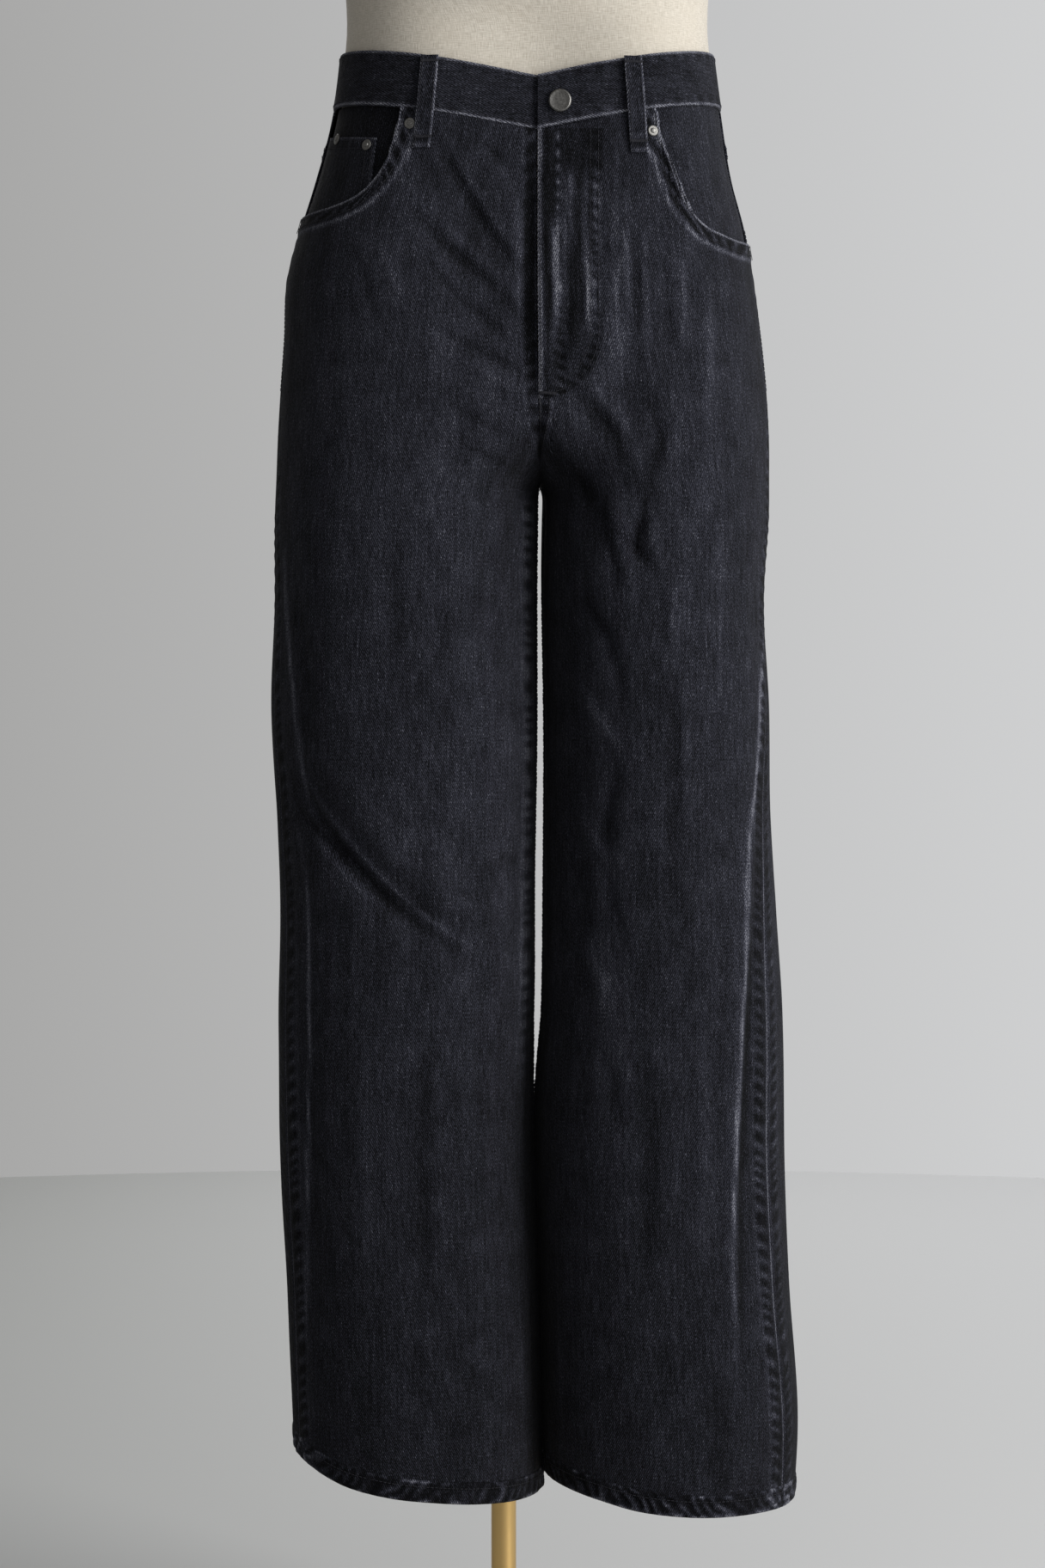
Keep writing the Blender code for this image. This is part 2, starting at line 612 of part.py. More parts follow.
def mouth_edge(side, shares):
    """(across, height) along the pocket mouth, from the waist seam to the side seam."""
    seen = np.array(MOUTHS[side])
    path = np.column_stack([across_of_x(side, seen[:, 0], seen[:, 1]), seen[:, 1]])
    share = pocket_share(side)
    start_z = waist_seam("front", share)
    path[0] = across_at(side, "front", [share], [start_z])[0], start_z
    _, outer = Section(side, [MOUTH_END_Z[side]]).edges("front")
    path = np.vstack([path, [outer[0], MOUTH_END_Z[side]]])
    return resampled(path, shares)


def pocket_share(side):
    """Where the pocket mouth meets the waist seam, as a share of the panel's width."""
    x, z = MOUTHS[side][0]
    inner, outer = Section(side, [z]).edges("front")
    return float((across_of_x(side, [x], [z])[0] - inner[0]) / (outer[0] - inner[0]))


def top_edge(side, face, columns):
    """(share, height) of a panel's top edge for each column."""
    even = np.linspace(0, 1, columns + 1)
    if face == "back":
        return even, yoke_seam(even) - SEAM_GAP / 2
    corner = FRONT_COLUMNS_TO_POCKET
    corner_share = pocket_share(side)
    waist_shares = np.linspace(0, corner_share, corner + 1)
    mouth = mouth_edge(side, np.linspace(0, 1, columns - corner + 1))[1:]
    inner, outer = Section(side, mouth[:, 1]).edges("front")
    shares = np.concatenate([waist_shares, (mouth[:, 0] - inner) / (outer - inner)])
    heights = np.concatenate([waist_seam("front", waist_shares), mouth[:, 1]])
    return shares, heights - SEAM_GAP / 2


def inside_seams(side, face, shares, heights):
    """(across, height) at shares of the width, kept clear of the seams."""
    inner, outer = Section(side, heights).edges(face)
    inner, outer = inner + SEAM_GAP / 2, outer - SEAM_GAP / 2
    return np.column_stack([inner + shares * (outer - inner), heights])


def panel_grid(side, face):
    """(across, height) grids of a leg panel, from the hem band to its top edge."""
    columns = FRONT_COLUMNS if face == "front" else BACK_COLUMNS
    even = np.linspace(0, 1, columns + 1)
    low = inside_seams(side, face, even, np.full(columns + 1, HEM_REFERENCE_Z))
    low_x = surface(side, face, low[:, 0], low[:, 1])[0][:, 0]
    bottom = hem_height(side, low_x) + HEM_HEIGHT + SEAM_GAP
    rows = [inside_seams(side, face, even, bottom + (LOW_BLEND_Z - bottom) * t) for t in (0, 0.5)]
    rows += [inside_seams(side, face, even, np.full(columns + 1, z)) for z in LEG_HEIGHTS]
    rows += [crotch_row(side, face, *values, even) for values in CROTCH_ROWS]
    last = rows[-1]
    inner, outer = Section(side, last[:, 1]).edges(face)
    last_shares = (last[:, 0] - inner) / (outer - inner)
    top_shares, top_heights = top_edge(side, face, columns)
    for t in UPPER_SHARES:
        shares = last_shares + (top_shares - last_shares) * t
        shares[0], shares[-1] = 0, 1
        rows.append(inside_seams(side, face, shares, last[:, 1] + (top_heights - last[:, 1]) * t))
    grid = np.array(rows)
    return grid[..., 0], grid[..., 1]


def add_panels(finish):
    for side in SIDES:
        for face in ("front", "back"):
            cloth_wall(f"{face}_{side}", side, face, panel_grid(side, face), finish)


def add_yokes(finish):
    shares = np.linspace(0, 1, BACK_COLUMNS + 1)
    for side in SIDES:
        low = yoke_seam(shares) + SEAM_GAP / 2
        high = waist_seam("back", shares) - SEAM_GAP / 2
        climbs = np.linspace(0, 1, 4)
        grid = np.array([inside_seams(side, "back", shares, low + (high - low) * t) for t in climbs])
        cloth_wall(f"yoke_{side}", side, "back", (grid[..., 0], grid[..., 1]), finish)


def add_hems(finish):
    """The turned hem bands, one closed ring for each leg."""
    for side in SIDES:
        front, back = (np.linspace(0, 1, n + 1) for n in (FRONT_COLUMNS, BACK_COLUMNS))
        outer_rows, inner_rows = [], []
        for rise, proud in HEM_ROWS:
            ring_out, ring_in = [], []
            for face, order in (("front", front[:-1]), ("back", back[:0:-1])):
                level = np.full(order.shape, HEM_REFERENCE_Z)
                start = across_at(side, face, order, level)
                x = surface(side, face, start, level)[0][:, 0]
                z = hem_height(side, x) + HEM_HEIGHT * rise
                across = across_at(side, face, order, z)
                ring_out.append(cloth(side, face, across, z, proud))
                ring_in.append(cloth(side, face, across, z, -HEM_BACK))
            outer_rows.append(np.concatenate(ring_out))
            inner_rows.append(np.concatenate(ring_in))
        wall(f"hem_{side}", np.array(outer_rows), np.array(inner_rows), finish, ring=True)


# ---------------------------------------------------------------- waist


def band_path():
    """(side, face, share) round the waist, from the lapped end to the end under it."""
    steps = {"front": np.linspace(0, 1, 14), "back": np.linspace(0, 1, 12)}
    path = [("left", "front", s) for s in steps["front"]]
    path += [("left", "back", s) for s in steps["back"][-2:0:-1]]
    path += [("right", "back", s) for s in steps["back"][:-1]]
    path += [("right", "front", s) for s in steps["front"][::-1]]
    return path


def add_waistband(finish):
    outer, inner = [], []
    path = band_path()
    width = float(np.ptp(across_at("left", "front", [0, 1], [WAIST_SIDE_Z] * 2)))
    lapped = len(path)
    path += [("left", "front", LAP_LENGTH * t / width) for t in (0.1, 0.55, 1)]
    for k, (side, face, share) in enumerate(path):
        seam = float(waist_seam(face, share)) + SEAM_GAP / 2
        heights = seam + BAND_HEIGHT * np.array([0, 0.5, 1])
        across = across_at(side, face, np.full(3, share), heights)
        if (side, share) == ("left", 0):
            across = across + SEAM_GAP / 2
        from_end = share * width if (side, face) == ("left", "front") and k < lapped else 1
        lift = (BAND_WALL + LAYER_GAP) * (1 - smooth((from_end - LAP_LENGTH - 0.003) / LAP_RAMP))
        outer.append(cloth(side, face, across, heights, BAND_PROUD + lift))
        inner.append(cloth(side, face, across, heights, BAND_PROUD + lift - BAND_WALL))
    wall("waistband", np.array(outer), np.array(inner), finish)


def add_fly(flap, tape):
    """The flap over the wearer's left front, its lower corner curved, and the zip behind it."""
    top = WAIST_FRONT_Z - SEAM_GAP
    low = FLY_BOTTOM_Z - FLY_LAP
    # Rows lie closer together at the curved corner.
    heights = low + (top - low) * np.linspace(0, 1, FLY_ROWS) ** 1.35
    curve = np.clip((low + FLY_CURVE - heights) / (FLY_CURVE * 1.01), 0, 1)
    widths = FLY_WIDTH * np.sqrt(1 - curve**2)
    columns = np.linspace(0, 1, 7)
    inner, _ = Section("left", heights).edges("front")
    across = (inner + SEAM_GAP / 2)[:, None] + np.outer(widths, columns)
    height = np.repeat(heights[:, None], 7, axis=1)
    cloth_wall("fly", "left", "front", (across, height), flap, out=FLY_GAP + DENIM)
    # The zip's tape starts above the curve and stays clear of the seams.
    above = slice(2, -1)
    across = (inner[above] + SEAM_GAP * 3)[:, None] + ZIP_WIDTH * np.array([0, 0.5, 1])
    height = np.repeat(heights[above, None], 3, axis=1)
    behind = -DENIM - LAYER_GAP
    cloth_wall("zip", "left", "front", (across, height), tape, out=behind, thickness=ZIP_WALL)


def add_facings(finish):
    """The cloth behind each pocket mouth, from under the front panel past the side seam."""
    columns, rows = FACING_GRID
    shares = np.linspace(0, 1, columns)
    behind = {"left": DENIM + LAYER_GAP, "right": 2 * (DENIM + LAYER_GAP)}
    for side in SIDES:
        mouth = mouth_edge(side, shares)
        lap = np.interp(shares, [0, 1], [FACING_LAP["below_waist"], FACING_LAP["below_side"]])
        low = mouth - np.column_stack([FACING_LAP["waist"] * (1 - shares), lap])
        low[:, 0] += FACING_TUCK * shares
        level = np.full(columns, WAIST_SIDE_Z)
        inner, outer = Section(side, level).edges("front")
        start = mouth[0, 0] - FACING_LAP["waist"]
        top_across = start + (outer + FACING_TUCK - start) * shares
        top = waist_seam("front", (top_across - inner) / (outer - inner)) - SEAM_GAP
        high = np.column_stack([top_across, top])
        grid = np.array([low + (high - low) * t for t in np.linspace(0, 1, rows)])
        place = (grid[..., 0], grid[..., 1])
        cloth_wall(f"pocket_facing_{side}", side, "front", place, finish, out=-behind[side])


def add_coin_pocket(finish):
    """It lies on the right facing and runs down behind the front panel."""
    size = COIN_POCKET
    shares = np.linspace(0, 1, COIN_GRID)
    grid = np.zeros((COIN_GRID, COIN_GRID, 2))
    for row, t in enumerate(shares):
        for column, s in enumerate(shares):
            top_z = size["top_z"] + size["top_rise"] * s
            z = size["low_z"] + (top_z - size["low_z"]) * t
            inner = across_of_x("right", [size["inner_x"] + size["inner_lean"] * t], [z])[0]
            outer = Section("right", [z]).edges("front")[1][0] - size["outer_gap"]
            grid[row, column] = inner + (outer - inner) * s, z
    place = (grid[..., 0], grid[..., 1])
    cloth_wall("coin_pocket", "right", "front", place, finish, out=-DENIM - LAYER_GAP)


def stud_seat(side, x, z):
    """Point and normal of the cloth's outer face where a stud is set, seen at x and z."""
    across = across_of_x(side, [x], [z])
    _, normal = surface(side, "front", across, np.array([z]))
    return cloth(side, "front", across, np.array([z]))[0], normal[0]


def add_rivets(finish):
    behind = -DENIM - LAYER_GAP
    spots = [
        # name, side, x, height, which layer it stands on
        ("rivet_mouth_right", "right", -0.0688, 1.2120, 0),
        ("rivet_mouth_left", "left", 0.1108, 1.2065, 0),
        ("rivet_coin_inner", "right", -0.1022, 1.1985, behind),
        ("rivet_coin_outer", "right", -0.1262, 1.2070, behind),
    ]
    flange, dot = RIVET_RADIUS, RIVET_RADIUS * 0.38
    profile = [
        (flange, 0),
        (flange, 0.0006),
        (flange * 0.8, 0.0011),
        (dot * 1.3, 0.0010),
        (dot, 0.0018),
    ]
    for name, side, x, z, layer in spots:
        place, normal = stud_seat(side, x, z)
        turned(name, profile, place + normal * (layer + STUD_SEAT), normal, 12, finish)


def add_back_pockets(finish):
    size = BACK_POCKET
    halves = np.linspace(-0.5, 0.5, BACK_POCKET_GRID)
    low = size["top_z"] - size["height"] + size["point"] * np.abs(2 * halves)
    rows = []
    for t in np.linspace(0, 1, BACK_POCKET_GRID):
        width = size["width"] - size["taper"] * (1 - t)
        across = size["across"] + width * halves
        rows.append(np.column_stack([across, low + (size["top_z"] - low) * t]))
    grid = np.array(rows)
    place = (grid[..., 0], grid[..., 1])
    for side in SIDES:
        cloth_wall(f"back_pocket_{side}", side, "back", place, finish, out=LAYER_GAP + DENIM)


def add_belt_loops(finish):
    """Flat loops from just under the waist seam to the top of the band."""
    spots = [
        # name, side, face, share of the panel's width, drop below the waist seam
        ("belt_loop_1", "right", "front", share_of_x("right", -0.0557), 0.029),
        ("belt_loop_2", "left", "front", share_of_x("left", 0.0975), 0.032),
        ("belt_loop_3", "left", "back", 0.740, 0.020),
        (CENTRE_BACK_LOOP, "left", "back", 0, 0.020),
        ("belt_loop_5", "right", "back", 0.740, 0.020),
    ]
    # The loop stands off the cloth by this much at each of its seven rows.
    lift = np.array([0.0008, 0.0012, 0.0022, 0.0030, 0.0030, 0.0022, 0.0014])
    for name, side, face, share, drop in spots:
        rows = np.array([-drop, -drop + 0.007, -0.004, 0.006, 0.022, 0.034, BAND_HEIGHT])
        heights = float(waist_seam(face, share)) + rows
        if name == CENTRE_BACK_LOOP:
            faces = [centre_back_strip(heights, lift + away) for away in (LOOP_WALL, 0)]
        else:
            centre = across_at(side, face, np.full(7, share), heights)
            across = centre[:, None] + LOOP_WIDTH * np.array([-0.5, 0, 0.5])
            height = np.repeat(heights[:, None], 3, axis=1)
            faces = [
                cloth(side, face, across, height, lift[:, None] + away) for away in (LOOP_WALL, 0)
            ]
        wall(name, faces[0], faces[1], finish)


def centre_back_strip(heights, out):
    """A strip that crosses the centre back seam, half on each side."""
    half = LOOP_WIDTH / 2
    columns = []
    for side, away in (("right", half), ("right", 0.0001), ("left", half)):
        across = across_at(side, "back", np.zeros(len(heights)), heights) + away
        columns.append(cloth(side, "back", across, heights, out))
    return np.stack(columns, axis=1)


def add_button(finish):
    z = np.array([WAIST_FRONT_Z + BAND_HEIGHT / 2])
    across = Section("left", z).edges("front")[0] + BUTTON_FROM_CENTRE
    _, normal = surface("left", "front", across, z)
    out = BAND_PROUD + BAND_WALL + LAYER_GAP + STUD_SEAT
    place = cloth("left", "front", across, z, out)[0]
    r = BUTTON_RADIUS
    profile = [
        (r * 0.5, 0),
        (r * 0.5, 0.0010),
        (r, 0.0014),
        (r, 0.0026),
        (r * 0.85, 0.0034),
        (r * 0.5, 0.0031),
    ]
    turned("waist_button", profile, place, normal[0], 20, finish)


# ---------------------------------------------------------------- stand


def add_form(finish):
    """The limbless torso: hips inside the cloth, and a plain upper body to the neck."""
    shares = np.linspace(0, 1, FORM_COLUMNS + 1)
    rings = []
    for z in FORM_HEIGHTS:
        ring = []
        for side, face, order in (
            ("left", "front", shares[:-1]),
            ("left", "back", shares[:0:-1]),
            ("right", "back", shares[:-1]),
            ("right", "front", shares[:0:-1]),
        ):
            section_z = max(z, SEAT_SEAM_TOP_Z)
            heights = np.full(order.shape, section_z)
            across = across_at(side, face, order, heights)
            points, normals = surface(side, face, across, heights)
            ring.append(points - normals * FORM_INSET.at(z, "inset"))
        ring = np.concatenate(ring)
        ring[:, 2] = z
        centre = np.array([FORM_CENTRE_X, FORM_CENTRE_Y, z])
        rings.append(centre + (ring - centre) * FORM_INSET.at(z, "shrink"))
    count = 4 * FORM_COLUMNS
    angles = -np.pi / 2 + np.arange(count) * 2 * np.pi / count
    sideways = np.sign(np.cos(angles)) * np.abs(np.cos(angles)) ** FORM_POWER
    forward = np.sign(np.sin(angles)) * np.abs(np.sin(angles)) ** FORM_POWER
    for z in TORSO_HEIGHTS:
        reach = np.where(forward < 0, -TORSO.at(z, "front_y"), TORSO.at(z, "back_y"))
        x = FORM_CENTRE_X + TORSO.at(z, "half_width") * sideways
        rings.append(np.column_stack([x, reach * forward, np.full(count, z)]))
    top_ring = rings[-1]
    neck = top_ring.mean(axis=0)
    for share, drop in NECK_CAP:
        ring = neck + (top_ring - neck) * share
        ring[:, 2] = FORM_TOP_Z - drop
        rings.append(ring)
    under = rings[0].mean(axis=0)
    ends = [np.append(under[:2], FORM_BOTTOM_Z), np.append(neck[:2], FORM_TOP_Z)]
    capped_rings("dress_form", rings, ends, finish)


def add_stand(finish):
    foot = [
        (FOOT_RADIUS, 0),
        (FOOT_RADIUS, FOOT_THICKNESS * 0.6),
        (FOOT_RADIUS - 0.003, FOOT_THICKNESS * 0.9),
        (FOOT_RADIUS - 0.010, FOOT_THICKNESS),
    ]
    turned("base", foot, (0, 0, 0), (0, 0, 1), 48, finish)
    low, high = FOOT_THICKNESS + SEAM_GAP, FORM_BOTTOM_Z - SEAM_GAP
    flange = POLE_RADIUS * 2.6
    pole = [
        (flange, low),
        (flange, low + 0.003),
        (flange * 0.6, low + 0.009),
        (POLE_RADIUS * 1.35, low + 0.012),
        (POLE_RADIUS * 1.35, low + 0.026),
        (POLE_RADIUS, low + 0.028),
        (POLE_RADIUS, high - 0.010),
        (POLE_RADIUS * 1.6, high - 0.007),
        (POLE_RADIUS * 1.6, high),
    ]
    turned("pole", pole, (0, 0, 0), (0, 0, 1), 24, finish)


def main():
    for thing in list(bpy.data.objects):
        bpy.data.objects.remove(thing, do_unlink=True)
    denim = material("washed_black_denim", (0.018, 0.019, 0.024), 0.85)
    thick = material("denim_band", (0.016, 0.017, 0.021), 0.85)
    tape = material("zip_tape", (0.010, 0.010, 0.011), 0.8)
    steel = material("dark_nickel", (0.30, 0.29, 0.28), 0.35, 1.0)
    brass = material("brushed_brass", (0.62, 0.45, 0.20), 0.30, 1.0)
    linen = material("form_cloth", (0.72, 0.68, 0.60), 0.9)
    add_panels(denim)
    add_yokes(denim)
    add_hems(thick)
    add_waistband(thick)
    add_fly(denim, tape)
    add_facings(denim)
    add_coin_pocket(denim)
    add_back_pockets(denim)
    add_rivets(steel)
    add_belt_loops(thick)
    add_button(steel)
    add_form(linen)
    add_stand(brass)


main()
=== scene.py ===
# %% [markdown]
# # Wide leg jeans on a dress form
#
# This notebook dresses a set of plain solids. The solids already have the right size and
# place, so each piece here is a finer shell laid over its solid: real denim thickness, the
# creases of a worn pair, stitches, puckered seams and a washed black twill.
#
# Everything is in metres. The front of the jeans faces -Y and +X is the wearer's left.

# %% Load the frame
import math

import bmesh
import bpy
import numpy as np
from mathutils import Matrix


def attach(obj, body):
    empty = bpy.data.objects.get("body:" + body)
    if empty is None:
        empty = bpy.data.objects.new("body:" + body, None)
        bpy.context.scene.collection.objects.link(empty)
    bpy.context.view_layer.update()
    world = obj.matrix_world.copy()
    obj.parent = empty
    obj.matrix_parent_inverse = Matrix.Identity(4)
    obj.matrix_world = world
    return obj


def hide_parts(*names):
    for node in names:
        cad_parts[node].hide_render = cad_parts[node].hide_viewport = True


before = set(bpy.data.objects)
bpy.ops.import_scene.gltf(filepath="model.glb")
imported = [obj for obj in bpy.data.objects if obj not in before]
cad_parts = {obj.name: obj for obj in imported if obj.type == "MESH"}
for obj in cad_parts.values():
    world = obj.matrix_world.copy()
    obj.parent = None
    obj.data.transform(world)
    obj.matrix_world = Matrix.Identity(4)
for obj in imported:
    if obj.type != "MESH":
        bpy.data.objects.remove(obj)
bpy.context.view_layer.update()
bpy.ops.object.select_all(action="DESELECT")

# %% [markdown]
# ## Camera, floor and light
#
# The picture was taken from the front with a long lens, a little above the knees, so the
# camera stands three metres away and looks down by about two degrees. A soft lamp on the
# right and a weak one on the left give the legs a light side and a dark side. The floor is
# a pale disc that ends behind the stand, painted darker on the left and lighter on the right
# as painted light from the lamp on the right, and the world is the pale wall beyond it.

# %% Camera
CAMERA_PLACE = (0.0145, -3.0, 0.82)
CAMERA_DOWN = math.atan2(0.10, 3.0)
SENSOR = 36
FOCAL_PIXELS, PICTURE_PIXELS = 4545, 1824  # the lens, and the picture's height
eye = bpy.data.cameras.new("eye")
eye.sensor_width = SENSOR
eye.lens = FOCAL_PIXELS / PICTURE_PIXELS * SENSOR


def placed(name, data):
    """A new object in the scene."""
    made = bpy.data.objects.new(name, data)
    bpy.context.scene.collection.objects.link(made)
    return made


def settle(made, node=None):
    """Lets a piece ride the root, and take the place of a solid where one is named."""
    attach(made, "root")
    if node:
        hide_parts(node)


camera = placed("eye", eye)
camera.location = CAMERA_PLACE
camera.rotation_euler = (math.pi / 2 - CAMERA_DOWN, 0, 0)
bpy.context.scene.camera = camera
bpy.context.scene.view_settings.view_transform = "Standard"
print("lens:", round(eye.lens, 1), "mm")

# %% Floor
FLOOR_RADIUS = 3.2


def left_to_right(tree, place, reach, dark, light, socket):
    """Colours a socket from dark to light over a reach to each side of the middle."""
    nodes, link = tree.nodes, tree.links.new
    apart, share, mix = (nodes.new("ShaderNode" + kind) for kind in ("SeparateXYZ", "MapRange", "Mix"))
    share.inputs["From Min"].default_value = -reach
    share.inputs["From Max"].default_value = reach
    mix.data_type = "RGBA"
    mix.inputs["A"].default_value = dark
    mix.inputs["B"].default_value = light
    link(nodes.new("ShaderNodeTexCoord").outputs[place], apart.inputs["Vector"])
    link(apart.outputs["X"], share.inputs["Value"])
    link(share.outputs["Result"], mix.inputs["Factor"])
    link(mix.outputs["Result"], socket)


bpy.ops.mesh.primitive_circle_add(vertices=128, radius=FLOOR_RADIUS, fill_type="NGON")
floor = bpy.context.object
floor.name = "floor"
floor_with_painted_light = bpy.data.materials.new("pale_floor_painted_light")
floor_with_painted_light.use_nodes = True
paint = floor_with_painted_light.node_tree.nodes["Principled BSDF"]
# The floor's colour runs darker on the left and lighter on the right: painted light from the lamp on
# the right.
left_to_right(floor_with_painted_light.node_tree, "Object", 0.8, (0.285, 0.288, 0.280, 1), (0.590, 0.594, 0.600, 1),
              paint.inputs["Base Color"])
paint.inputs["Roughness"].default_value = 0.75
floor.data.materials.append(floor_with_painted_light)
print("floor radius:", FLOOR_RADIUS)

# %% Lamps and wall colour


def lamp(name, place, target, size, power, colour):
    """A large soft rectangle of light that the camera doesn't see."""
    light = bpy.data.lights.new(name, "AREA")
    light.shape = "RECTANGLE"
    light.size, light.size_y = size
    light.energy = power
    light.color = colour
    made = placed(name, light)
    made.location = place
    x, y, z = np.array(target) - np.array(place)
    made.rotation_euler = (math.atan2(math.hypot(x, y), -z), 0, math.atan2(y, x) - math.pi / 2)
    made.visible_camera = False


lamp("window_right", (3.0, -2.2, 1.9), (0.0, 0.0, 0.9), (1.6, 2.4), 170, (1.0, 0.99, 0.97))
lamp("fill_left", (-2.6, -2.4, 1.6), (0.0, 0.0, 0.8), (2.0, 2.4), 4, (0.97, 0.98, 1.0))
lamp("fill_behind", (-0.4, 3.4, 2.3), (0.0, 0.0, 0.8), (2.4, 2.4), 40, (1.0, 1.0, 1.0))
wall = bpy.data.worlds.new("pale_wall")
wall.use_nodes = True
bpy.context.scene.world = wall
left_to_right(wall.node_tree, "Generated", 0.30, (0.250, 0.245, 0.235, 1), (0.764, 0.772, 0.784, 1),
              wall.node_tree.nodes["Background"].inputs["Color"])
print("lamps: 3")

# %% [markdown]
# ## The shape of the cloth
#
# A trouser leg is a tube whose level sections change slowly from hem to waist. The tables
# give, at each height, how far the leg reaches out, forwards and backwards. A smooth curve
# through each column gives every height in between, and four quarter arcs make a section.
# These are the same numbers as the solids', so the fine cloth lies exactly on them.

# %% Sizes of the cut
DENIM = 0.0013
SEAM_GAP = 0.0003
LAYER_GAP = 0.0007
FLY_GAP = 0.0009
STEP = 0.002
SECTION_POWER = 0.89
CROTCH_Z = 0.952
FLY_BOTTOM_Z = 1.012
SEAT_SEAM_TOP_Z = 1.075
INSEAM_Y = 0.002
CENTRE_FRONT_DIP = 0.004
CENTRE_BACK_DIP = 0.008
BACK_SHIFT = 0.015
CREASE_FADE_Z = 1.185
WAIST_FRONT_Z, WAIST_SIDE_Z, WAIST_BACK_Z = 1.208, 1.234, 1.246
YOKE_SIDE_DROP, YOKE_CENTRE_DROP = 0.035, 0.075
HEM_HEIGHT = 0.017
HEM_REFERENCE_Z = 0.2  # where a column's place along the hem line is read
INNER_BEADS, OUTER_BEADS = 0.0125, 0.0112  # spacing of the puckers at the inner and the side seams
BAND_HEIGHT = 0.040
BAND_WALL = 0.0024
BAND_PROUD = 0.0006
LAP_LENGTH, LAP_RAMP = 0.036, 0.022
LOW_BLEND_Z = 0.280
QUARTER_STEPS = 28
BATCH = 400  # places worked out at a time
SIDES = ("right", "left")
SIGN = {"right": -1, "left": 1}


class Table:
    """A short table with named columns, read by a smooth curve through its first column."""

    def __init__(self, names, rows):
        self.names = names.split()
        self.rows = np.array(rows, float)

    def at(self, place, name):
        knots = self.rows[:, 0]
        values = self.rows[:, self.names.index(name)]
        slopes = np.gradient(values, knots)
        place = np.clip(place, knots[0], knots[-1])
        low = np.clip(np.searchsorted(knots, place) - 1, 0, len(knots) - 2)
        span = knots[low + 1] - knots[low]
        t = (place - knots[low]) / span
        start = (1 + 2 * t) * (1 - t) ** 2 * values[low]
        end = t * t * (3 - 2 * t) * values[low + 1]
        bend = t * (1 - t) ** 2 * slopes[low] - t * t * (1 - t) * slopes[low + 1]
        return start + end + span * bend


def in_mm(text):
    """Rows of numbers in millimetres, one row a line, as metres."""
    return [[float(number) / 1000 for number in line.split()] for line in text.strip().splitlines()]


def pairs_in_mm(text):
    """Pairs of numbers in millimetres on one line, as metres."""
    return np.reshape(in_mm(text), (-1, 2))


def paths_in_mm(text):
    """Rows of words, two numbers and a path. The words stand on a line above their rows."""
    rows = []
    for line in text.replace("\n   ", " ").strip().splitlines():
        parts = line.split()
        if parts[0].isalpha():
            words = parts
        elif parts[0] != "#":
            numbers = [float(part) / 1000 for part in parts]
            rows.append((*words, *numbers[:2], list(zip(numbers[2::2], numbers[3::2]))))
    return rows


def smooth(t):
    """0 to 1 with level ends."""
    t = np.clip(t, 0, 1)
    return t * t * (3 - 2 * t)


def line_at(distance, place, width):
    """1 on a line at a distance from a seam, fading out over a width."""
    return np.exp(-(((distance - place) / width) ** 2))


def run_along(points):
    """Length of a line of points up to each of them."""
    return np.concatenate([[0], np.cumsum(np.linalg.norm(np.diff(points, axis=0), axis=1))])


def points_at(places, run, points):
    """Points at places along a line whose lengths are known."""
    return np.column_stack([np.interp(places, run, column) for column in points.T])


# %% Sections of each leg
SECTION_NAMES = "height outer_x front_y side_y back_y front_crest back_crest"
# Millimetres, and thousandths of the half width for the two crests.
SECTIONS = {
    "right": Table(SECTION_NAMES, in_mm("""
150 -158 -96 -8 88 500 500
230 -162.2 -97 -8 88 500 500
330 -166.3 -98 -10 86 500 500
430 -171.2 -101 -12 84 500 500
530 -172.6 -105 -12 84 500 500
630 -171.2 -108 -10 88 490 500
700 -173.8 -110 -8 94 490 500
780 -178 -112 -4 102 480 500
860 -175.2 -113 0 112 480 500
930 -174.5 -115 2 124 470 500
1010 -170.6 -118 4 139 450 500
1060 -167.2 -117 4 138 440 480
1104 -165 -114 4 130 430 470
1144 -155 -108 4 120 420 450
1183 -142.5 -102 4 111 410 440
1230 -130.5 -97 4 104 400 420
1290 -122.5 -93 4 100 400 420
""")),
    "left": Table(SECTION_NAMES, in_mm("""
150 222.5 -98 -6 90 500 500
230 226.4 -98 -6 90 500 500
330 219.8 -99 -8 90 500 500
430 215.5 -102 -10 90 500 500
530 214 -106 -10 92 500 500
630 208 -109 -8 98 500 500
700 204 -112 -6 106 500 500
780 203 -115 -2 114 500 500
860 199 -117 0 120 500 500
930 202.5 -118 2 128 480 500
1010 201 -119 4 140 460 500
1060 196 -117 4 138 440 480
1104 190.5 -114 4 130 430 470
1144 184 -108 4 120 420 450
1183 174 -102 4 111 410 440
1230 166.5 -97 4 104 400 420
1290 158.5 -93 4 100 400 420
""")),
}
MIDDLE = Table("height x half_gap", in_mm("""
    150 30.5 1
    350 26.5 1
    470 23.2 0.8
    500 24 1.6
    540 25.8 3.3
    650 27 3.4
    770 28.2 2.8
    870 27.4 2.2
    940 28.4 2.6
    952 28.4 0.2
    1010 26.6 0.2
    1290 25.6 0.2
"""))
SEAM_SWING = Table("height right left", in_mm("""
    150 40 55
    700 40 55
    850 34 40
    1000 18 20
    1120 3 3
    1300 0 0
"""))
HEM_LINE = {
    "right": Table("x height", pairs_in_mm("-160 213 -147 206 -127 197 -87 188 -50 184 30 178")),
    "left": Table("x height", pairs_in_mm("30 192 68 185 100 178 125 175 225 173")),
}
MOUTHS = {
    "right": pairs_in_mm("-75.8 1216.5 -80 1199 -85.4 1187.2 -92.4 1174.8 "
                         "-100.8 1165.5 -112.5 1158.2 -125.7 1154 -139.1 1152"),
    "left": pairs_in_mm("113.5 1216 115 1203.5 122.6 1189.7 128.3 1172.5 "
                        "134 1157.1 143 1144 153.9 1135.8 164.9 1131.9"),
}
MOUTH_END_Z = {"right": 1.152, "left": 1.132}
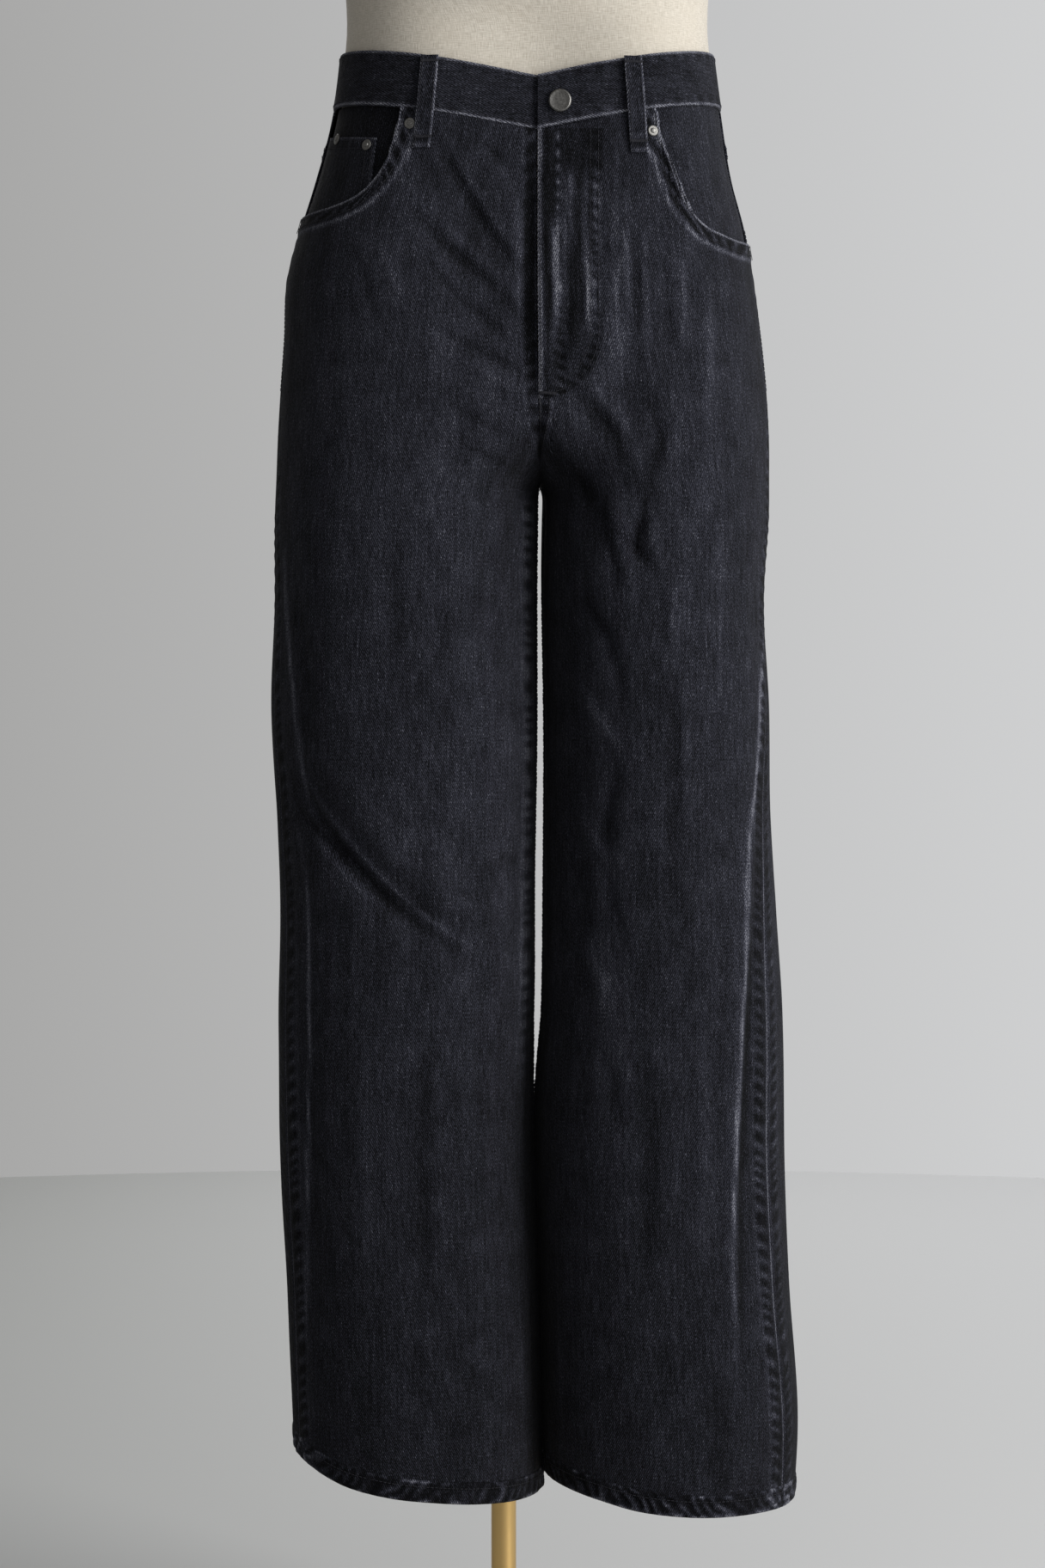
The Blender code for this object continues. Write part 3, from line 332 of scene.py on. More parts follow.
print("section rows:", len(SECTIONS["right"].rows), "for each leg")

# %% [markdown]
# A place on the cloth is told in two measures, as on a pattern piece: the distance along
# the level section from the middle of the panel, and the height. The next cell turns such
# a place into a point and an outward direction.

# %% From pattern measures to points


class Section:
    """Level lines of one side, from centre front or inseam round to centre back or inseam."""

    def __init__(self, side, height):
        sign, table = SIGN[side], SECTIONS[side]
        height = np.ravel(np.asarray(height, float))
        up = height[:, None]
        outer_x, front_y, side_y, back_y, front_crest, back_crest = (
            table.at(height, name)[:, None] for name in table.names[1:]
        )
        middle_x = MIDDLE.at(height, "x")[:, None]
        gap = np.interp(height, MIDDLE.rows[:, 0], MIDDLE.rows[:, 2])[:, None]
        outer = sign * (outer_x - middle_x)
        front_at = gap + (outer - gap) * front_crest
        back_at = gap + (outer - gap) * back_crest
        start_y = self.rise(up, FLY_BOTTOM_Z, front_y + CENTRE_FRONT_DIP)
        end_y = self.rise(up, SEAT_SEAM_TOP_Z, back_y - CENTRE_BACK_DIP)
        round_front = 1 - smooth((up - FLY_BOTTOM_Z + 0.01) / 0.05)
        round_back = 1 - smooth((up - SEAT_SEAM_TOP_Z + 0.02) / 0.06)
        share = np.linspace(0, 1, QUARTER_STEPS + 1)[None, :]
        sine = np.sin(share * np.pi / 2) ** SECTION_POWER
        cosine = np.cos(share * np.pi / 2) ** SECTION_POWER
        wave = np.sin(share * np.pi / 2) ** 2
        flat_front, flat_back = 1 - round_front, 1 - round_back
        quarters = [
            (
                front_at - (front_at - gap) * (round_front * cosine + flat_front * (1 - share)),
                start_y + (front_y - start_y) * (round_front * sine + flat_front * wave),
            ),
            (front_at + (outer - front_at) * sine, side_y + (front_y - side_y) * cosine),
            (back_at + (outer - back_at) * cosine, side_y + (back_y - side_y) * sine),
            (
                back_at - (back_at - gap) * (round_back * sine + flat_back * share),
                end_y + (back_y - end_y) * (round_back * cosine + flat_back * (1 - wave)),
            ),
        ]
        out = np.concatenate([quarters[0][0]] + [q[0][:, 1:] for q in quarters[1:]], axis=1)
        y = np.concatenate([quarters[0][1]] + [q[1][:, 1:] for q in quarters[1:]], axis=1)
        shift = BACK_SHIFT * smooth((up - 0.6) / 0.35) * smooth(y / 0.12)
        self.height = height
        self.line = np.stack([middle_x + sign * out - shift, y], axis=-1)
        lengths = np.linalg.norm(np.diff(self.line, axis=1), axis=2)
        self.run = np.concatenate([np.zeros((len(height), 1)), np.cumsum(lengths, axis=1)], axis=1)
        self.front = self.run[:, QUARTER_STEPS]
        self.back = self.run[:, 3 * QUARTER_STEPS]
        self.seam = self.run[:, 2 * QUARTER_STEPS] - SEAM_SWING.at(height, side)

    @staticmethod
    def rise(up, top, y_at_top):
        """Where the front or back rise curve is at each height above the crotch."""
        share = np.clip((top - up) / (top - CROTCH_Z), 0, 1)
        risen = INSEAM_Y + (y_at_top - INSEAM_Y) * np.sqrt(1 - share**2)
        return np.where(up > CROTCH_Z, risen, INSEAM_Y)

    def edges(self, face):
        """Distances of the panel's inner edge and of the side seam from its middle."""
        if face == "front":
            return -self.front, self.seam - self.front
        return self.back - self.run[:, -1], self.back - self.seam

    def points(self, face, across):
        """Points of one section each, or of the single section, at distances from the middle."""
        along = self.front + across if face == "front" else self.back - across
        low = np.clip((self.run < along[:, None]).sum(axis=1) - 1, 0, self.run.shape[1] - 2)
        rows = np.arange(len(along)) if len(self.run) > 1 else np.zeros(len(along), int)
        span = self.run[rows, low + 1] - self.run[rows, low]
        t = np.clip((along - self.run[rows, low]) / span, 0, 1)[:, None]
        flat = self.line[rows, low] * (1 - t) + self.line[rows, low + 1] * t
        return np.column_stack([flat, np.broadcast_to(self.height, len(along))])


def smooth_line(side, face, across, height):
    """Points, normals and distances to the two seams, for places at one or at many heights."""
    height = height[:1] if np.ptp(height) == 0 else height
    here, over, under = (Section(side, height + d) for d in (0, STEP, -STEP))
    inner, outer = here.edges(face)
    inner_above, _ = over.edges(face)
    near = (across < inner_above)[:, None]
    above = np.where(near, here.points(face, across), over.points(face, across))
    turn = SIGN[side] * (1 if face == "front" else -1)
    level = here.points(face, across + STEP) - here.points(face, across - STEP)
    normal = turn * np.cross(level, above - under.points(face, across))
    normal /= np.linalg.norm(normal, axis=1, keepdims=True)
    return np.column_stack([here.points(face, across), normal, across - inner, outer - across])


def surface(side, face, across, height):
    """(points, normals, distance to the inner seam, distance to the side seam) of a grid."""
    across, height = np.broadcast_arrays(np.atleast_2d(across), np.atleast_2d(height))
    if across.shape[1] > 1 and np.ptp(height, axis=1).max() == 0:
        batches = zip(across, height)
    else:
        pieces = max(1, across.size // BATCH)
        batches = zip(*(np.array_split(each.ravel(), pieces) for each in (across, height)))
    found = np.concatenate([smooth_line(side, face, a, z) for a, z in batches])
    found = found.reshape(*across.shape, 8)
    return found[..., :3], found[..., 3:6], found[..., 6], found[..., 7]


def across_at(side, face, share, height):
    """The distance from a panel's middle at a share of its width, 0 at the inner edge."""
    inner, outer = Section(side, height).edges(face)
    return (inner + np.ravel(share) * (outer - inner)).reshape(np.shape(height))


def across_of_x(side, x, height):
    """The distance from the front panel's middle of a point seen at x from the front."""
    section = Section(side, height)
    found = []
    for k, value in enumerate(np.ravel(x)):
        run = section.run[k, : 2 * QUARTER_STEPS + 1]
        seen = SIGN[side] * section.line[k, : 2 * QUARTER_STEPS + 1, 0]
        found.append(np.interp(SIGN[side] * value, seen, run) - section.front[k])
    return np.array(found)


def resampled(path, shares):
    """Points at shares of the length of a smooth curve through a path."""
    path = np.array(path, float)
    run = run_along(path)
    fine = np.linspace(0, run[-1], 12 * len(path))
    names = "run " + " ".join(f"c{k}" for k in range(path.shape[1]))
    table = Table(names, np.column_stack([run, path]))
    curve = np.column_stack([table.at(fine, f"c{k}") for k in range(path.shape[1])])
    length = run_along(curve)
    return points_at(np.asarray(shares) * length[-1], length, curve)


def waist_seam(face, share):
    """Height of the waist seam at a share of the panel's width, 0 at the centre."""
    if face == "front":
        climb = np.sin(np.asarray(share) * np.pi / 2)
        return WAIST_FRONT_Z + (WAIST_SIDE_Z - WAIST_FRONT_Z) * climb
    return WAIST_BACK_Z + (WAIST_SIDE_Z - WAIST_BACK_Z) * smooth(share)


def yoke_seam(share):
    drop = YOKE_CENTRE_DROP + (YOKE_SIDE_DROP - YOKE_CENTRE_DROP) * np.asarray(share)
    return waist_seam("back", share) - drop


print("front width at the knee:", np.round(np.ptp(Section("right", [0.6]).edges("front")), 3), "m")

# %% [markdown]
# ## Creases
#
# Worn denim folds where the body bends and where it is pulled. Each crease is a soft
# trough or ridge along a drawn path, with its own width and depth, and it runs out
# at both ends. The first list holds the large folds that the solids have too. The second
# adds narrow, crisp ones: the fold across the right knee, the drag lines that fan out from
# the fly, and their like on the back, where a wearer's knee and seat leave them.

# %% Large folds, as in the solids
# Under each face: half width and depth, then the path as x and height, all in mm.
LARGE_FOLDS = paths_in_mm("""
front
17 4.8  -154 747  -141 704  -117 670  -88 642  -56 615  -21 586
14 -3  -123 725  -100 694  -67 661  -34 634  0 607
14 -2.5  -145 673  -117 642  -85 613  -50 586
10 3  -45 645  -10 655  18 664
12 3.5  -48 1195  -20 1140  4 1092  18 1045
13 3  -54 1170  -30 1110  -8 1060  10 1022
9 2  -12 1208  4 1190  18 1172
26 3.2  36 955  52 915  61 880  62 780  60 650  64 500  78 380
12 -3  76 1100  72 1030  48 985
11 3.5  89 1060  94 980  100 900  113 850
11 3.5  74 1010  66 950  62 915
14 2  104 1180  110 1110  112 1030
12 2  136 1120  133 1080  130 1000
14 -3  198 960  190 820  184 660  177 560  173 380
10 2.5  186 620  184 480  186 300
20 3  -20 560  0 450  -4 300
12 2.5  -150 560  -146 430  -140 300
16 2.5  0 960  -10 880  -6 790
back
15 5  4 955  -40 925  -95 915
15 5  24 955  70 925  130 915
15 6  10 600  -50 640  -125 690
13 3.5  10 560  -60 590  -130 610
15 5.5  45 610  110 640  170 680
18 3.5  -30 900  -45 800  -40 700
18 4  80 900  95 790  90 690
18 3.5  -60 540  -70 420  -60 290
18 3.5  120 560  130 430  120 290
""")
print("large folds:", len(LARGE_FOLDS))

# %% Narrow creases
NARROW_CREASES = paths_in_mm("""
# Right knee: a crisp edge above, a dark line under it, and a thinner second line.
front
3.4 -1.1  -156 730  -150 720  -121.5 679  -92 646.8  -60 617.8  -24 591.5
3 1.4  -158 724  -153.1 714  -125.1 671.6  -96.2 639  -64 610  -29 584.5
2.6 1.7  -161 710  -157.9 701.6  -133.6 672.5  -117.5 653.1  -95.2 633  -75.2 617.5
4 -1.2  -148 684  -130 661  -112 642  -96 627
4 1  -85 635  -64 623  -45 618  -25 621
3 1.2  -6 661  4 660  14 654.5
3.6 1  -41.6 638.6  -28 634  -16.3 628.2
# Drag lines from the right hip to the fly.
4 1.2  -53.7 1221.4  -41 1195  -27.9 1172  -9 1141.4  13 1112
3.2 -1.1  -44 1215  -20 1172  0 1140  14 1123
3.6 1.3  -27.9 1223.7  -6.7 1204.9  7 1184  15 1160
3.6 1.5  -74.9 1164.9  -58 1146  -42 1129.6  -13.8 1106.2  15 1073
3.6 -1  -60 1162  -36 1138  -10 1116  12 1092
3.4 1.2  -64 1130  -42 1100  -18 1080  12 1054
3.6 1.3  -52 1070  -42 1063.8  -13.8 1049.7  16 1033.3
3.4 -0.9  -40 1048  -12 1033  13 1018
3.4 1.1  -46 1012  -37.3 1007.5  -9 993.3  16.8 979.2
3.4 1.2  -34 983  -27.9 979.2  0.3 965  18 956
4 0.9  -69.3 1207.5  -57.4 1190.4  -50 1170
3.6 -0.8  -101 1138  -88 1115  -80 1085
3.6 0.9  -118 1133  -106 1105  -98 1070
6 2.6  19 1196  18.5 1140  17.5 1080  18.5 1030
# Short creases that break up the dark inner side of the left leg.
4.6 1.4  76 830  86 806  90 778
5 -1.4  56 800  70 770  88 748
4.6 1.2  90 730  78 700  74 666
5 -1.3  54 705  66 676  86 658
4.6 1.2  80 635  90 604  88 574
5 -1.1  56 604  70 574  76 540
5 1  70 520  84 490  86 450
# Below and beside the fly on the left leg.
5.5 2.6  46 1028  52.1 1021.5  75.6 998  87.3 981.5  94.4 960.4  101.4 941.5
4.5 -1.2  64 1028  86 1002  98 980  106 956
4.2 2.1  112 1020  113.2 1007.5  120.3 979.2  113.2 960.4  117.9 932.3
3.4 2  106.3 950  107.5 930  101.6 900.3  108 890  116.2 880.8
3.2 -1  116 940  113 913  118 896  125 886
3.2 1.4  87 916.5  96.7 903.6  106.5 890.7
4 2.2  73.9 945.5  78.9 909.9  83.8 887.4  85.4 861.7
4 1.8  61 861.4  72 844  78.9 832.2  82.2 816.1
5 2.2  38.3 982.5  46.2 962.7  58.1 952.8  65 938.9  71.9 899.3
4.5 1.8  48.2 1089.4  45 1060  41.6 1030
3.8 -1.1  92 1165  93.5 1125  96 1080
3.8 1.3  99 1150  101 1110  103 1060
3.8 -1.1  107.5 1140  108.5 1090  110 1040
4 1  123 1120  125 1080  124 1020
3.8 -0.9  136 1125  137.5 1090  137 1050
4 -1  154 1110  156 1050  154 990
3.6 0.9  145 970  138 945  139 920
3.6 -0.8  130 890  129.1 850  131 810
3.6 -0.8  140 810  138.8 750  140 680
# Long flutes down the left leg and soft dents down the right one.
7 1.6  82 760  80 680  83 600
6 1.2  128 800  131 700  127 610
6.5 1.3  108 520  112 430  108 330
6 -1.2  150 560  153 450  150 340
6 1  -80 900  -84 840  -80 790
6.5 1.1  -60 520  -64 420  -60 320
6 -1  -104 540  -108 440  -104 330
5 1.2  -158 860  -150 800  -152 752
# The fold in front of the left leg's side seam.
4.5 -1.2  190 740  184.5 600  179.5 500  175.6 385  177.5 270
5 1.3  196 740  191 600  186 500  182.5 385  184 270
# The dip where the right front goes under the flap.
4 -1.2  11 1180  10.5 1130  9.5 1080
# Seat, back of the knees and calves.
back
5 2.2  6 975  -30 948  -80 934  -120 936
4.5 1.8  4 992  -24 972  -60 962
5 2.2  22 976  60 946  110 932  150 936
4.5 1.6  24 994  52 972  90 960
4.2 2.6  16 588  -30 616  -80 650  -132 702
4.5 -1.4  6 618  -40 648  -92 686
4 1.8  0 556  -50 578  -100 600
3.6 1.4  -40 690  -80 700  -124 728
4.2 2.4  40 598  90 622  140 654  184 698
4.5 -1.3  52 630  104 656  156 694
3.8 1.6  60 566  110 582  160 600
6 1.4  -92 860  -98 790  -94 720
6 1.4  146 866  152 800  146 730
6.5 1.4  -100 500  -106 410  -100 310
6.5 -1.2  -20 470  -24 380  -18 280
6.5 1.4  80 500  76 410  82 310
6.5 -1.2  168 480  172 390  166 290
""")
print("narrow creases:", len(NARROW_CREASES))

# %% Relief of the cloth
FOLD_POINTS = 31
CRISP = 1.45  # narrow creases are pressed in this much more than written
EYE, EYE_REACH = np.array([0.0145, 0.82]), 3.0
BELLY, HALF_GIRTH = 0.112, 0.21  # how far the front stands before the pole, and its half width


def drawn(path, face="back"):
    """Points along a path. Paths on the front were measured in the plane of the pole."""
    path = resampled(path, np.linspace(0, 1, FOLD_POINTS))
    if face == "front":
        aside = (path[:, :1] - EYE[0]) / HALF_GIRTH
        forward = BELLY * np.sqrt(np.clip(1 - np.abs(aside) ** 2, 0.05, 1))
        path = EYE + (path - EYE) * (1 - forward / EYE_REACH)
    return path


FOLD_PATHS = [(face, half, press, drawn(path)) for face, half, press, path in LARGE_FOLDS]
FOLD_PATHS += [(face, half, press * CRISP, drawn(path, face))
               for face, half, press, path in NARROW_CREASES]
ripple_values = np.random.default_rng(11).uniform(-1, 1, (24, 24, 24))


def ripple(places, sizes):
    """Smooth noise from -1 to 1 in space, with bumps of about the given sizes."""
    cells = places / np.array(sizes)
    low = np.floor(cells).astype(int)
    part = smooth(cells - low)
    total = 0
    for corner in range(8):
        pick = [(corner >> k) & 1 for k in range(3)]
        weight = 1
        for k in range(3):
            weight = weight * (part[..., k] if pick[k] else 1 - part[..., k])
        index = [(low[..., k] + pick[k]) % 24 for k in range(3)]
        total = total + weight * ripple_values[index[0], index[1], index[2]]
    return total


def from_path(places, path):
    """(distance from a path, share of the path's length at the nearest place)."""
    start, step = path[:-1], np.diff(path, axis=0)
    offset = places[:, None, :] - start
    t = np.clip((offset * step).sum(axis=-1) / (step**2).sum(axis=-1), 0, 1)
    away = np.linalg.norm(offset - t[..., None] * step, axis=-1)
    rows, best = np.arange(len(places)), away.argmin(axis=-1)
    return away[rows, best], (best + t[rows, best]) / len(step)


def fold_depth(face, points, normals):
    """(how deep the folds press the cloth in, how much of it is narrow creases)."""
    depth, narrow = np.zeros(points.shape[:-1]), np.zeros(points.shape[:-1])
    seen = points[..., [0, 2]]
    facing = np.clip(-normals[..., 1] if face == "front" else normals[..., 1], 0, 1) ** 0.5
    facing = facing * (1 - smooth((points[..., 2] - CREASE_FADE_Z) / 0.03))
    for k, (crease_face, half, press, path) in enumerate(FOLD_PATHS):
        if crease_face != face:
            continue
        low, high = path.min(axis=0) - 3 * half, path.max(axis=0) + 3 * half
        near = ((seen > low) & (seen < high)).all(axis=-1)
        if not near.any():
            continue
        away, along = from_path(seen[near], path)
        ends = np.clip(along, 0.02, 0.98)
        push = press * np.sin(np.pi * ends) ** 0.6 * line_at(away, 0, half)
        depth[near] += push
        if k >= len(LARGE_FOLDS):
            narrow[near] += push
    return depth * facing, narrow * facing


def pucker(along, spacing):
    """Uneven beads along a seam, from -1 to 1, where the thread gathers the cloth."""
    places = np.stack([along, along * 0, along * 0], axis=-1)
    drift = ripple(places, (0.034, 1, 1))
    strength = 0.65 + 0.35 * ripple(places + 3.3, (0.060, 1, 1))
    return strength * np.sin(2 * np.pi * (along / spacing + 0.55 * drift))


def seam_relief(side, face, inner, outer, height):
    """The raised, puckered strips beside the inseam, rise and side seams."""
    relief = np.zeros(np.shape(inner))
    # The inseam and rise are folded over and sewn twice, so the strip is thick and beaded.
    felled = face == "front" or side == "left"
    strip = 1 - smooth((inner - 0.0085) / 0.0030)
    relief += (0.00055 if felled else 0.0002) * strip - 0.0003 * line_at(inner, 0, 0.0011)
    relief += 0.00042 * pucker(height + inner * 0.4, INNER_BEADS) * line_at(inner, 0.005, 0.0042)
    relief += 0.0012 * (1 - smooth((height - 0.465) / 0.03)) * (1 - smooth((inner - 0.010) / 0.012))
    # The side seam is pressed open: a low ridge whose edge shows, pulled into small beads.
    strip = 1 - smooth((outer - 0.0110) / 0.0040)
    relief += 0.00045 * strip - 0.00045 * line_at(outer, 0, 0.0012)
    relief += 0.00050 * pucker(height - outer * 0.5, OUTER_BEADS) * line_at(outer, 0.0125, 0.0040)
    return relief


def pressed(side, face, across, height, out=0.0):
    """(points, normals) of a grid that has the folds pressed in and is moved out."""
    points, normals, _, _ = surface(side, face, across, height)
    depth, _ = fold_depth(face, points, normals)
    return points + normals * (out - depth)[..., None], normals


def cloth(side, face, across, height, out=0.0):
    """Points of the creased cloth's outer face, moved out by a distance, and what shapes it."""
    points, normals, inner, outer = surface(side, face, across, height)
    depth, narrow = fold_depth(face, points, normals)
    below_waist = 1 - smooth((points[..., 2] - CREASE_FADE_Z) / 0.03)
    swell = 0.0009 * ripple(points + 1.7, (0.045, 0.045, 0.30)) * below_waist
    swell += 0.00035 * ripple(points + 5.1, (0.016, 0.016, 0.055)) * below_waist
    relief = seam_relief(side, face, inner, outer, np.asarray(height)) - depth + swell
    made = points + normals * (np.asarray(out) + relief)[..., None]
    return made, {"inner": inner, "outer": outer, "depth": depth, "narrow": narrow, "swell": swell,
                  "points": points, "normals": normals}


print("folds in all:", len(FOLD_PATHS))

# %% [markdown]
# ## Washed black denim
#
# Denim is a twill: dark warp threads run up and down and pass over three white weft
# threads at a time, which leaves steep diagonal lines about a millimetre apart. Uneven
# yarn gives long faint streaks and small light flecks. Washing takes the black off where
# the cloth stands proud. The weave follows each pattern piece, so it reads a UV map that is
# in metres, and an attribute says where wear has left the cloth light or dark, and also
# where shade and light are painted in: creases and the sides of the legs darker, some ridges lighter.

# %% A small helper for shader nodes


class Recipe:
    """Adds nodes to one material and joins them, so that a recipe reads from top to bottom."""

    def __init__(self, name):
        self.material = bpy.data.materials.new(name)
        self.material.use_nodes = True
        self.nodes = self.material.node_tree.nodes
        self.links = self.material.node_tree.links
        self.shader = self.nodes["Principled BSDF"]

    def join(self, value, socket):
        if hasattr(value, "is_output"):
            self.links.new(value, socket)
        else:
            socket.default_value = value

    def put(self, **inputs):
        """Sets or joins the shader's inputs, told by their names with _ for a space."""
        for name, value in inputs.items():
            self.join(value, self.shader.inputs[name.replace("_", " ")])

    def coordinates(self, name):
        """Object coordinates, or the UV map of that name."""
        if name == "Object":
            return self.nodes.new("ShaderNodeTexCoord").outputs[name]
        node = self.nodes.new("ShaderNodeUVMap")
        node.uv_map = name
        return node.outputs["UV"]

    def math(self, operation, a, b=0.0, clamp=False):
        node = self.nodes.new("ShaderNodeMath")
        node.operation, node.use_clamp = operation, clamp
        self.join(a, node.inputs[0])
        self.join(b, node.inputs[1])
        return node.outputs[0]

    def stretched(self, source, scale, turn=0.0):
        node = self.nodes.new("ShaderNodeMapping")
        self.join(source, node.inputs["Vector"])
        node.inputs["Scale"].default_value = scale
        node.inputs["Rotation"].default_value = (0, 0, turn)
        return node.outputs["Vector"]

    def noise(self, source, scale, detail=2.0, rough=0.5):
        node = self.nodes.new("ShaderNodeTexNoise")
        self.join(self.stretched(source, scale), node.inputs["Vector"])
        node.inputs["Scale"].default_value = 1.0
        node.inputs["Detail"].default_value = detail
        node.inputs["Roughness"].default_value = rough
        return node.outputs["Fac"]

    def span(self, value, low, high, to_low=0.0, to_high=1.0):
        node = self.nodes.new("ShaderNodeMapRange")
        self.join(value, node.inputs["Value"])
        ends = {"From Min": low, "From Max": high, "To Min": to_low, "To Max": to_high}
        for name, number in ends.items():
            node.inputs[name].default_value = number
        return node.outputs["Result"]

    def mix(self, share, a, b):
        node = self.nodes.new("ShaderNodeMix")
        node.data_type = "RGBA"
        self.join(share, node.inputs["Factor"])
        self.join(a, node.inputs["A"])
        self.join(b, node.inputs["B"])
        return node.outputs["Result"]

    def bump(self, height, distance, below=None, strength=1.0):
        node = self.nodes.new("ShaderNodeBump")
        node.inputs["Strength"].default_value = strength
        node.inputs["Distance"].default_value = distance
        self.join(height, node.inputs["Height"])
        if below is not None:
            self.join(below, node.inputs["Normal"])
        return node.outputs["Normal"]


# %% Denim material
TWILL_PITCH = 0.0016  # from one diagonal line to the next, measured level
TWILL_LEAN = math.radians(62)
BLACK, WORN = (0.0015, 0.0016, 0.0021, 1), (0.0400, 0.0416, 0.0570, 1)
FLECK, BARE = (0.090, 0.093, 0.118, 1), (0.300, 0.305, 0.340, 1)
make = Recipe("washed_black_denim")
chart = make.coordinates("chart")
wear_and_shade = make.nodes.new("ShaderNodeAttribute")
wear_and_shade.attribute_name = "wear_and_shade"
wear_and_shade = wear_and_shade.outputs["Fac"]
twill = make.nodes.new("ShaderNodeTexWave")
twill.wave_profile = "SIN"
make.join(make.stretched(chart, (1, 1, 1), math.pi / 2 - TWILL_LEAN), twill.inputs["Vector"])
twill.inputs["Scale"].default_value = 0.314 / (TWILL_PITCH * math.sin(TWILL_LEAN))
twill.inputs["Distortion"].default_value = 1.1
twill.inputs["Detail"].default_value = 1.0
twill.inputs["Detail Scale"].default_value = 2.0
lines = twill.outputs["Fac"]
yarn = make.noise(chart, (1700, 420, 1), 1.0)
specks = make.noise(chart, (1100, 240, 1), 2.0)
# How light the cloth is: wear, painted shade and painted light from the attribute first, then the
# yarn's unevenness on top.
tone = wear_and_shade
for across, along, detail, rough, reach in (
    (300, 11, 3.0, 0.6, 0.06),  # slubs
    (62, 2.6, 2.0, 0.5, 0.05),  # broad streaks
    (44, 30, 4.0, 0.62, 0.10),  # clouds
    (15, 7, 2.0, 0.5, 0.035),  # patches
    (760, 62, 2.0, 0.5, 0.14),  # dashes
    (980, 640, 2.0, 0.7, 0.34),  # grain
):
    uneven = make.noise(chart, (across, along, 1), detail, rough)
    tone = make.math("ADD", tone, make.span(uneven, 0.3, 0.7, -reach, reach))
pale_lines = make.span(lines, 0, 1, -0.20, 0.20)
weave = make.math("MULTIPLY", pale_lines, make.span(yarn, 0.3, 0.7, 0.2, 1.8))
total = make.math("ADD", tone, weave)
tone = make.math("POWER", make.math("ADD", total, 0.0, True), 1.6)
base = make.mix(tone, BLACK, WORN)
base = make.mix(make.span(total, 0.86, 1.75), base, BARE)
worn_places = make.span(tone, 0.05, 0.6, 0.1, 0.9)
dots = make.math("MULTIPLY", make.span(specks, 0.62, 0.74), worn_places, True)
make.put(Base_Color=make.mix(dots, base, FLECK), Roughness=0.92, Specular_IOR_Level=0.05,
         Sheen_Weight=0.02, Sheen_Roughness=0.55)
thread_height = make.math("MULTIPLY", lines, make.span(yarn, 0.2, 0.8, 0.5, 1.2))
below = make.bump(make.noise(chart, (58, 30, 1), 2.0, 0.5), 0.0022)
below = make.bump(make.noise(chart, (230, 150, 1), 3.0, 0.6), 0.0015, below)
make.put(Normal=make.bump(thread_height, 0.00022, below))
denim = make.material
print("material:", denim.name)

# %% [markdown]
# ## From a grid to a piece of cloth
#
# A pattern piece is a grid of places. The grid gives the outer face, a Solidify modifier
# gives the wall, and the piece carries its chart (in metres) and its lightness, from wear and
# from painted shade and light. One helper does this for every piece, so that all of the cloth
# is made in the same way.

# %% Grid helper
RIM_ANGLE = math.radians(50)


def cells(grid):
    """The four corners of each cell of a grid."""
    return np.stack([grid[:-1, :-1], grid[:-1, 1:], grid[1:, 1:], grid[1:, :-1]], axis=2)


def sheet_area(points):
    """Area of a grid of points."""
    a, d, c, b = np.moveaxis(cells(points), 2, 0)
    return float((np.linalg.norm(np.cross(b - a, d - a), axis=-1).sum()
                  + np.linalg.norm(np.cross(b - c, d - c), axis=-1).sum()) / 2)


def flat_size(grid):
    """Largest width and height of a grid of places on a pattern piece."""
    return float(np.ptp(grid[..., 0], axis=1).max()), float(np.ptp(grid[..., 1]))


def cut(piece, points, flat):
    """Prints a piece's flat size. Its area is worked out as its own, or the flat size's where that is
    less, and then not used.
    """
    area = min(flat[0] * flat[1], sheet_area(points))
    print(piece.name, points.shape[:2], "cut {:.3f} x {:.3f} m".format(*flat))


def cloth_piece(name, node, points, chart, wear_and_shade, thickness=DENIM, ring=False, finish=None):
    """A walled piece of cloth for a node, from a grid of outer points, charts, and lightness from wear
    and painted shade.
    """
    rows, columns = points.shape[:2]
    index = np.arange(rows * columns).reshape(rows, columns)
    if ring:
        index = np.concatenate([index, index[:, :1]], axis=1)
        round_once = chart[0, -1, 0] * (1 + 1 / (columns - 1))
        chart = np.concatenate([chart, chart[:, :1] + [[[round_once, 0]]]], axis=1)
    faces = cells(index).reshape(-1, 4)
    flat = points.reshape(-1, 3)
    mesh = bpy.data.meshes.new(name)
    mesh.from_pydata(flat.tolist(), [], faces.tolist())
    mesh.update()
    uv_map = mesh.uv_layers.new(name="chart")
    uv_map.data.foreach_set("uv", cells(chart).reshape(-1).astype(np.float32))
    layer = mesh.attributes.new("wear_and_shade", "FLOAT", "POINT")
    layer.data.foreach_set("value", np.clip(wear_and_shade, 0, 1).reshape(-1).astype(np.float32))
    made = placed(name, mesh)
    mesh.materials.append(finish or denim)
    if facing_in(flat[faces], name):
        mesh.flip_normals()
    wall_maker = made.modifiers.new("wall", "SOLIDIFY")
    wall_maker.thickness = thickness
    wall_maker.offset = -1
    wall_maker.use_quality_normals = True
    bpy.context.view_layer.objects.active = made
    made.select_set(True)
    bpy.ops.object.modifier_apply(modifier="wall")
    made.select_set(False)
    made.data.shade_smooth()
    made.data.set_sharp_from_angle(angle=RIM_ANGLE)
    settle(made, node)
    return made


LEG_MIDDLE = {"right": (-0.070, 0.0), "left": (0.118, 0.0)}
HIPS_MIDDLE = (0.018, 0.0)


def facing_in(corners, name):
    """True where the faces of a piece point at the middle of its leg or of the hips."""
    normal = np.cross(corners[:, 1] - corners[:, 0], corners[:, 2] - corners[:, 0])
    side = "left" if "left" in name else "right"
    middle = corners.mean(axis=1)
    outward = middle[:, :2] - (LEG_MIDDLE[side] if middle[:, 2].mean() < 0.95 else HIPS_MIDDLE)
    return float((normal[:, :2] * outward).sum()) < 0


